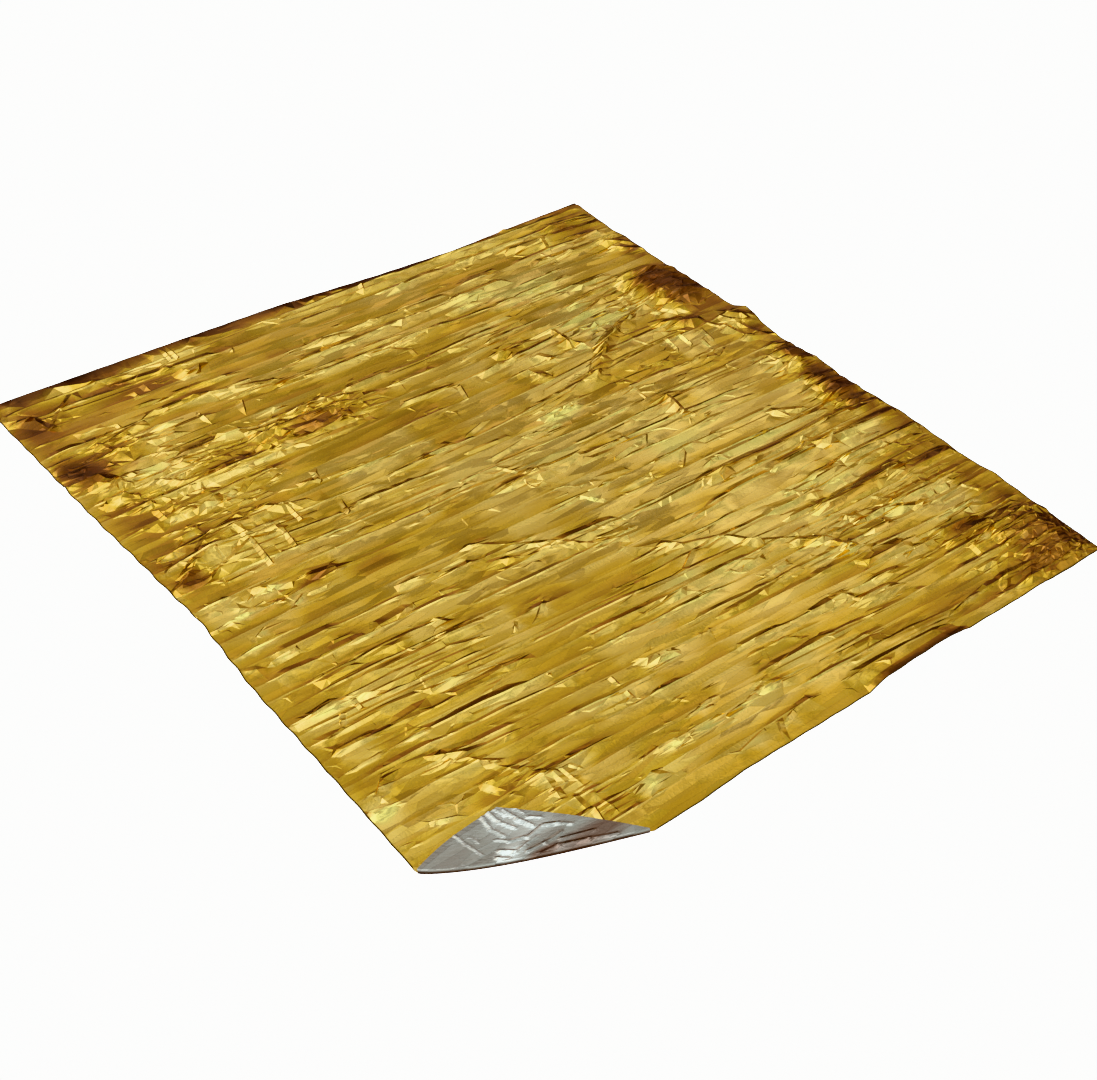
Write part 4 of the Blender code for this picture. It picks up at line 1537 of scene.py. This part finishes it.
def fill_points(draw):
    """Corners strewn over the sheet, close together where the foil is crumpled."""
    half = FILL_HALF / FILL_STRETCH
    grids = np.meshgrid(np.arange(-half, half, FILL_SPACING), np.arange(*FILL_SPAN, FILL_SPACING))
    x, y = (grid.ravel() for grid in grids)
    x = x * FILL_STRETCH + draw.uniform(-FILL_STRAY, FILL_STRAY, x.size) * FILL_SPACING * FILL_STRETCH
    y = y + draw.uniform(-FILL_STRAY, FILL_STRAY, x.size) * FILL_SPACING
    keep = draw.uniform(0, 1, x.size) < np.interp(liveliness(x, y), FILL_LIVE, FILL_KEEP)
    return np.column_stack([x, y])[keep]


def thinned(runs, taken, least):
    """The runs without the corners that crowd an earlier one."""
    cells = {}

    def cell_of(point):
        return int(point[0] // least), int(point[1] // least)

    def clear(point):
        i, j = cell_of(point)
        around = [(i + di, j + dj) for di in (-1, 0, 1) for dj in (-1, 0, 1)]
        if any(math.dist(point, other) < least for cell in around for other in cells.get(cell, ())):
            return False
        cells.setdefault((i, j), []).append(point)
        return True

    for point in map(tuple, taken):
        cells.setdefault(cell_of(point), []).append(point)
    return [[point for point in map(tuple, run) if clear(point)] for run in runs]


def rim_ring():
    """A line just inside the cut edge, from one end of the turned corner's fold to the other."""
    cut = cut_edge()
    along = np.gradient(cut, axis=0)
    inward = np.column_stack([-along[:, 1], along[:, 0]]) / np.linalg.norm(along, axis=1)[:, None]
    return [tuple(point) for point in (cut + inward * RIM_WIDTH)[1:-1]]


def flat_mesh():
    """The laid sheet seen from above: corners, triangles, the turned fold's corners, the folds."""
    loop, fold = outline()
    draw = random.Random(FINE_SEED)
    minor, ticked, crumple, strewn = short_pleats(draw), ticks(draw), wrinkles(draw), flecks()
    groups = [
        ([top_run(row, CREASE_ROWS) for row in CREASES], CREASE_ROWS),
        (fold_runs(FINE_FOLDS, FINE_ROWS), FINE_ROWS),
        (fold_runs(glint_folds(), FINE_ROWS, both_feet=True), FINE_ROWS),
        (pleat_runs(draw), PLEAT_ROWS),
        (fold_runs(minor, MINOR_ROWS), MINOR_ROWS),
        (fold_runs(ticked, TICK_ROWS), TICK_ROWS),
        (fold_runs(crumple + strewn, CRUMPLE_ROWS), CRUMPLE_ROWS),
    ]
    runs = [run for group, _ in groups for run in group]
    reaches = [rows.reach for group, rows in groups for _ in group]
    kept = inside_loop(np.vstack(runs), loop, ROWS_MARGIN)
    kept = np.split(kept, np.cumsum([len(run) for run in runs])[:-1])
    runs = thinned([run[stays] for run, stays in zip(runs, kept)], loop, LEAST_GAP)
    points = [tuple(point) for point in loop]
    edges = [(i, (i + 1) % len(loop)) for i in range(len(loop))]
    for run, reach in [*zip(runs, reaches), (rim_ring(), math.inf)]:
        first = len(points)
        points += run
        for i in range(len(run) - 1):
            if math.dist(run[i], run[i + 1]) < reach:
                edges.append((first + i, first + i + 1))
    fill = fill_points(np.random.default_rng(FINE_SEED))
    fill = fill[inside_loop(fill, loop, FILL_MARGIN)]
    points += thinned([fill], points, FILL_MARGIN)[0]
    made = delaunay_2d_cdt([Vector(point) for point in points], edges, [], INSIDE_ONLY, MERGED)
    corners = np.array([tuple(place) for place in made[0]])
    triangles = [tuple(face) for face in made[2]]
    fold_ids = [int(np.argmin(np.hypot(*(corners - point).T))) for point in loop[fold]]
    return corners, triangles, fold_ids, minor + ticked + strewn, crumple


def add_turned_corner(silver, gold, triangles, fold_ids):
    """Carries the sheet round the fold and over itself, narrowing to the flap's tip."""
    line, outward = turn_line()
    rows = [list(fold_ids)]
    for step in range(1, NOSE_STEPS + 1):
        angle = math.pi * (step / NOSE_STEPS - 0.5)
        ids = []
        for point in line:
            for side, radius in ((silver, NOSE_RADIUS), (gold, NOSE_RADIUS - FOIL)):
                place = point + radius * math.cos(angle) * outward
                side.append((*place, NOSE_RADIUS + radius * math.sin(angle)))
            ids.append(len(silver) - 1)
        rows.append(ids)
    tip, stops, draw = np.array(FLAP_TIP), range(FLAP_ROWS + 1), random.Random(FINE_SEED)
    for row in range(1, FLAP_ROWS + 1):
        share, count, ids = row / FLAP_ROWS, FLAP_ROWS - row, []
        for i in range(count + 1):
            along = i / count if count else 0.5
            base = np.array([np.interp(along * FLAP_ROWS, stops, part) for part in line.T])
            bulge = FLAP_BULGE * math.sin(math.pi * share) * (2 * along - 1)
            place = base + share * (tip - base) + bulge * np.array([-outward[1], outward[0]])
            height = flap_level(share) + draw.uniform(-1, 1) * FLAP_GRAIN
            silver.append((*place, height))
            gold.append((*place, height - FOIL))
            ids.append(len(silver) - 1)
        rows.append(ids)
    turned = [i for row in rows[NOSE_STEPS + 1 :] for i in row]
    places = np.array([silver[i][:2] for i in turned])
    for i, rise in zip(turned, fold_height(*places.T, FLAP_FOLDS)):
        for side in (silver, gold):
            side[i] = (*side[i][:2], side[i][2] + rise)
    for near, far in zip(rows, rows[1:]):
        for i in range(len(near) - 1):
            triangles.append((near[i + 1], near[i], far[i]))
            if i + 1 < len(far):
                triangles.append((near[i + 1], far[i], far[i + 1]))


def flap_level(share):
    """The silver side's height on the turned corner, from its fold (0) to its tip (1)."""
    return 2 * NOSE_RADIUS + share * (FLAP_TIP_HEIGHT - 2 * NOSE_RADIUS)


def in_rim(corners, triangles):
    """Which of the laid sheet's triangles lie along the cut edge."""
    laid = np.array([max(triangle) < len(corners) for triangle in triangles])
    centres = corners[np.array(triangles)[laid]].mean(axis=1)
    found = np.zeros(len(triangles), bool)
    found[laid] = off_line(*centres.T, cut_edge()) < RIM_SHARE * RIM_WIDTH
    return found


def measures(items, name, width=1):
    """A measure of all the mesh's faces, corners or points: numbers of places, or places."""
    found = np.empty(len(items) * width, np.int32 if width == 1 else float)
    items.foreach_get(name, found)
    return found if width == 1 else found.reshape(-1, width)


def corner_tones_and_painted_light(mesh, laid, count, shift):
    """The colour at each corner of each face, with its painted shade and painted highlight: even inside
    a strip, with a step at its crests.
    """
    sizes, at = measures(mesh.polygons, "loop_total"), measures(mesh.loops, "vertex_index")
    x, y = (measures(mesh.vertices, "co", 3)[at, :2] - shift).T
    centre_x, centre_y = (measures(mesh.polygons, "center", 3)[:, :2] - shift).T
    strip = np.repeat((pleat_lines(centre_x)[0] > centre_y).sum(axis=0), sizes)
    rows = np.vstack([np.full(x.shape, STRIPS_END), pleat_lines(x)[0], np.full(x.shape, STRIPS_START)])
    column = np.arange(len(x))
    upper, lower = rows[strip, column], rows[strip + 1, column]
    share = ((y - lower) / (upper - lower)).clip(0, 1)
    normals = measures(mesh.polygons, "normal", 3)[:, :2]
    facing = np.repeat(normals @ np.array(SHADED_SIDE), sizes)
    turned = at % count >= laid
    shades = np.where(turned, zone_painted_light(x, y, FLAP_PAINTED_LIGHT), laid_tone_and_painted_light(x, y, strip, share, facing))
    return shades.clip(-TONE_MOST, TONE_MOST)


def add_attribute(mesh, name, domain, numbers):
    """A number for each point, or for each corner of each face, that a material can read."""
    made = mesh.attributes.new(name, "FLOAT", domain)
    made.data.foreach_set("value", numbers.astype(np.float32))


def in_scene(name, data):
    """A new object in the scene."""
    made = bpy.data.objects.new(name, data)
    bpy.context.scene.collection.objects.link(made)
    return made


def foil_blanket():
    """One closed mesh: the silver side, the gold side over it, and the cut edge between them."""
    corners, triangles, fold_ids, folds, crumple = flat_mesh()
    grain = np.random.default_rng(FINE_SEED + 1).uniform(-1, 1, len(corners))
    height = sheet_height(*corners.T, folds, crumple, grain)
    height[fold_ids] = 0.0
    silver = [(x, y, z) for (x, y), z in zip(corners, height)]
    gold = [(x, y, z + FOIL) for x, y, z in silver]
    add_turned_corner(silver, gold, triangles, fold_ids)
    count, laid = len(silver), len(corners)
    used = {edge for a, b, c in triangles for edge in ((a, b), (b, c), (c, a))}
    rim = sorted((a, b) for a, b in used if (b, a) not in used)
    faces = [tuple(i + count for i in triangle) for triangle in triangles]
    faces += [triangle[::-1] for triangle in triangles]
    faces += [(b + count, a + count, a, b) for a, b in rim]
    points = np.array(silver + gold)
    low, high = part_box("foil_sheet")
    middle = (points.min(axis=0) + points.max(axis=0)) / 2
    shift = np.array([(low.x + high.x) / 2 - middle[0], (low.y + high.y) / 2 - middle[1]])
    points[:, :2] += shift
    mesh = bpy.data.meshes.new("foil_blanket")
    mesh.from_pydata(points.tolist(), [], faces)
    slot = np.full(len(faces), SILVER_SLOT, np.int32)
    # triangles in the rim get the painted shade of the edge
    slot[: len(triangles)] = np.where(in_rim(corners, triangles), EDGE_AND_SHADE_SLOT, GOLD_SLOT)
    slot[2 * len(triangles) :] = EDGE_AND_SHADE_SLOT
    for made in (gold_foil(), silver_foil(), foil_edge_with_painted_shade()):
        mesh.materials.append(made)
    mesh.polygons.foreach_set("material_index", slot)
    mesh.polygons.foreach_set("use_smooth", np.ones(len(faces), bool))
    mesh.update()
    mesh.set_sharp_from_angle(angle=math.radians(SHARP_ANGLE))
    # This attribute carries painted shade and painted highlight, and random steps of colour
    add_attribute(mesh, "painted_light_and_tone", "CORNER", corner_tones_and_painted_light(mesh, laid, count, shift))
    crinkle = np.full(count, FLAP_CRINKLE)
    crinkle[:laid] = np.interp(liveliness(*corners.T), CRINKLE_LIVE, CRINKLE)
    add_attribute(mesh, "crinkle", "POINT", np.tile(crinkle, 2))
    return in_scene("foil_blanket", mesh)


class Nodes:
    """A few lines of help for building a material's nodes."""

    def __init__(self, tree):
        self.tree = tree

    def fill(self, node, inputs):
        """Links or sets the node's inputs."""
        for name, given in inputs.items():
            if isinstance(given, bpy.types.NodeSocket):
                self.tree.links.new(given, node.inputs[name])
            else:
                node.inputs[name].default_value = given

    def add(self, kind, inputs=None, output=0, **settings):
        """An output of a new node, the first unless another is named."""
        node = self.tree.nodes.new("ShaderNode" + kind)
        for name, setting in settings.items():
            setattr(node, name, setting)
        self.fill(node, inputs or {})
        return node.outputs[output]

    def maths(self, operation, *numbers):
        """One sum on numbers."""
        return self.add("Math", dict(enumerate(numbers)), operation=operation)

    def vector(self, operation, *vectors):
        """One sum on vectors."""
        output = "Value" if operation == "DOT_PRODUCT" else 0
        return self.add("VectorMath", dict(enumerate(vectors)), output, operation=operation)

    def spread(self, given, start, end, **settings):
        """The given number carried from one range to another."""
        inputs = {"Value": given, "From Min": start[0], "From Max": start[1]}
        return self.add("MapRange", inputs | {"To Min": end[0], "To Max": end[1]}, **settings)

    def ramp(self, given, stops):
        """The colour at the given number, from pairs of a place from 0 to 1 and a colour."""
        node = self.tree.nodes.new("ShaderNodeValToRGB")
        elements = node.color_ramp.elements
        while len(elements) < len(stops):
            elements.new(0.5)
        for element, (place, colour) in zip(elements, stops):
            element.position = place
            element.color = (*colour, 1)
        self.fill(node, {"Fac": given})
        return node.outputs["Color"]

    def noise(self, place, per_metre, detail):
        """Noise with its own scale along x, y and z."""
        place = self.add("Mapping", {"Vector": place, "Scale": per_metre})
        return self.add("TexNoise", {"Vector": place, "Scale": 1.0, "Detail": detail})

    def bump(self, height, strength, distance, **under):
        """A bump, on top of the one that is given as Normal."""
        return self.add("Bump", {"Height": height, "Strength": strength, "Distance": distance, **under})


def new_material(name):
    """A material, help with its nodes, and its shader."""
    made = bpy.data.materials.new(name)
    made.use_nodes = True
    return made, Nodes(made.node_tree), made.node_tree.nodes["Principled BSDF"]


def facet_height(n, place):
    """Long small facets, each a plane with a tilt of its own, by how crumpled the foil is."""
    place = n.add("Mapping", {"Vector": place, "Scale": (*FACETS_PER_METRE, 0.0)})
    middle = n.add("TexVoronoi", {"Vector": place, "Scale": 1.0}, "Position", voronoi_dimensions="2D")
    drawn = n.vector("SUBTRACT", middle.node.outputs["Color"], (0.5, 0.5, 0.5))
    tilt = n.vector("MULTIPLY", drawn, (*FACET_TILT, 0.0))
    rise = n.vector("DOT_PRODUCT", n.vector("SUBTRACT", place, middle), tilt)
    return n.maths("MULTIPLY", rise, n.add("Attribute", output="Fac", attribute_name="crinkle"))


def foil_material(name, colours, roughness, streak_bump, crackle_bump):
    """Foil in colours from the darkest painted shade to the palest painted highlight, with roller
    streaks and a fine crackle.
    """
    made, n, shader = new_material(name)
    place = n.add("TexCoord", output="Object")
    streaks, patches = n.noise(place, STREAKS, 3.0), n.noise(place, PATCHES, 2.0)
    cells = {"Vector": place, "Scale": CRACKLE}
    crackle = n.add("TexVoronoi", cells, "Distance", feature="DISTANCE_TO_EDGE")
    uneven = n.spread(patches, (0.3, 0.7), (-PATCH_TONE, PATCH_TONE))
    # The attribute read here holds painted shade and painted highlight, and random steps of colour
    painted_light_and_tone = n.maths("ADD", n.add("Attribute", output="Fac", attribute_name="painted_light_and_tone"), uneven)
    painted_light_and_tone = n.spread(painted_light_and_tone, (-TONE_MOST, TONE_MOST), (0.0, 1.0))
    stops = [(k / (len(colours) - 1), colour) for k, colour in enumerate(colours)]
    normal = n.bump(facet_height(n, place), 1.0, FACET_HEIGHT)
    normal = n.bump(n.maths("MINIMUM", crackle, CRACKLE_WIDTH), crackle_bump, 0.002, Normal=normal)
    normal = n.bump(streaks, streak_bump, 0.0015, Normal=normal)
    dull = n.spread(streaks, (0.0, 1.0), roughness)
    n.fill(shader, {"Metallic": 1.0, "Coat Weight": 0.35, "Coat Roughness": 0.08, "Coat IOR": 1.6})
    n.fill(shader, {"Base Color": n.ramp(painted_light_and_tone, stops), "Roughness": dull, "Normal": normal})
    return made


def gold_foil():
    """The upper side."""
    # Painted shade in darkest and brown, painted highlight in tan and pale; gold is the foil's own
    # colour
    darkest, brown, gold = (0.15, 0.045, 0.012), (0.40, 0.160, 0.028), (0.755, 0.462, 0.060)
    tan, pale = (0.97, 0.68, 0.19), (0.95, 0.79, 0.23)
    return foil_material("gold_foil", (darkest, brown, gold, tan, pale), (0.08, 0.16), 0.04, 0.06)


def silver_foil():
    """The underside, which shows on the turned corner."""
    # Painted shade in darkest and dull, painted highlight in bright and white; silver is the foil's own
    # colour
    darkest, dull, silver = (0.16, 0.10, 0.08), (0.32, 0.22, 0.18), (0.45, 0.43, 0.40)
    bright, white = (0.80, 0.80, 0.78), (0.92, 0.92, 0.90)
    colours = (darkest, dull, silver, bright, white)
    return foil_material("silver_foil", colours, (0.14, 0.20), 0.0, 0.0)


def foil_edge_with_painted_shade():
    """The cut edge, and the line of painted shade along it on the gold side."""
    made, n, shader = new_material("foil_edge_with_painted_shade")
    n.fill(shader, {"Metallic": 1.0, "Base Color": (0.10, 0.06, 0.022, 1), "Roughness": 0.45})
    return made


def sky():
    """The studio as the foil sees it: dark and warm low down, uneven walls, soft bright panels."""
    world = bpy.data.worlds.new("studio")
    world.use_nodes = True
    n = Nodes(world.node_tree)
    world.node_tree.nodes.clear()
    direction = n.add("TexCoord", output="Generated")
    height = n.add("SeparateXYZ", {"Vector": direction}, "Z")
    stops = [(math.sin(math.radians(row.elevation)), row[1:]) for row in SKY]
    uneven = n.add("TexNoise", {"Vector": direction, "Scale": 8.0, "Detail": 1.5})
    walls = n.spread(uneven, (0.35, 0.65), (0.5, 1.5))
    heading, elevation = math.radians(PANEL_HEADING), math.radians(PANEL_ELEVATION)
    level = math.cos(elevation)
    toward = (math.sin(heading) * level, math.cos(heading) * level, math.sin(elevation))
    facing = n.vector("DOT_PRODUCT", direction, toward)
    rim = [math.cos(math.radians(angle)) for angle in (PANEL_FADE, PANEL_CORE)]
    panel = n.spread(facing, rim, (0.0, PANEL_LIGHT), interpolation_type="SMOOTHSTEP")
    strength = n.maths("ADD", walls, panel)
    light = n.add("Background", {"Color": n.ramp(height, stops), "Strength": strength})
    pale = n.add("Background", {"Color": (1.0, 1.0, 1.0, 1), "Strength": BACKDROP_LIGHT})
    seen = n.add("LightPath", output="Is Camera Ray")
    shown = n.add("MixShader", {0: seen, 1: light, 2: pale})
    n.fill(world.node_tree.nodes.new("ShaderNodeOutputWorld"), {"Surface": shown})
    bpy.context.scene.world = world


def floor():
    """A plain pale floor. The foil's own reflections of it are kept dull."""
    half, drop = FLOOR_HALF, -FOIL
    mesh = bpy.data.meshes.new("floor")
    corners = [(-half, -half, drop), (half, -half, drop), (half, half, drop), (-half, half, drop)]
    mesh.from_pydata(corners, [], [(0, 1, 2, 3)])
    made, n, shader = new_material("pale_floor")
    n.fill(shader, {"Base Color": (0.86, 0.86, 0.86, 1), "Roughness": 0.9})
    n.fill(shader, {"Emission Color": (1, 1, 1, 1), "Emission Strength": BACKDROP_LIGHT})
    dull = n.add("BsdfDiffuse", {"Color": (0.24, 0.14, 0.11, 1)})
    seen = n.add("LightPath", output="Is Camera Ray")
    shown = n.add("MixShader", {0: seen, 1: dull, 2: shader.outputs[0]})
    n.fill(made.node_tree.nodes["Material Output"], {"Surface": shown})
    mesh.materials.append(made)
    ground = in_scene("floor", mesh)
    return ground


def camera():
    """The photo's view of the sheet."""
    data = bpy.data.cameras.new("camera")
    data.lens = CAMERA_LENS
    data.sensor_width = CAMERA_SENSOR
    made = in_scene("camera", data)
    made.location = CAMERA_PLACE
    tilt, turn = math.radians(90 - CAMERA_ELEVATION), math.radians(CAMERA_AZIMUTH)
    made.rotation_euler = Euler((tilt, 0, turn), "XYZ")
    bpy.context.scene.camera = made


for startup in list(bpy.data.objects):
    bpy.data.objects.remove(startup, do_unlink=True)
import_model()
camera()
sky()
ground = floor()
blanket = foil_blanket()
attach(blanket, "root")
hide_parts("foil_sheet")
bpy.context.scene.view_settings.view_transform = "Khronos PBR Neutral"
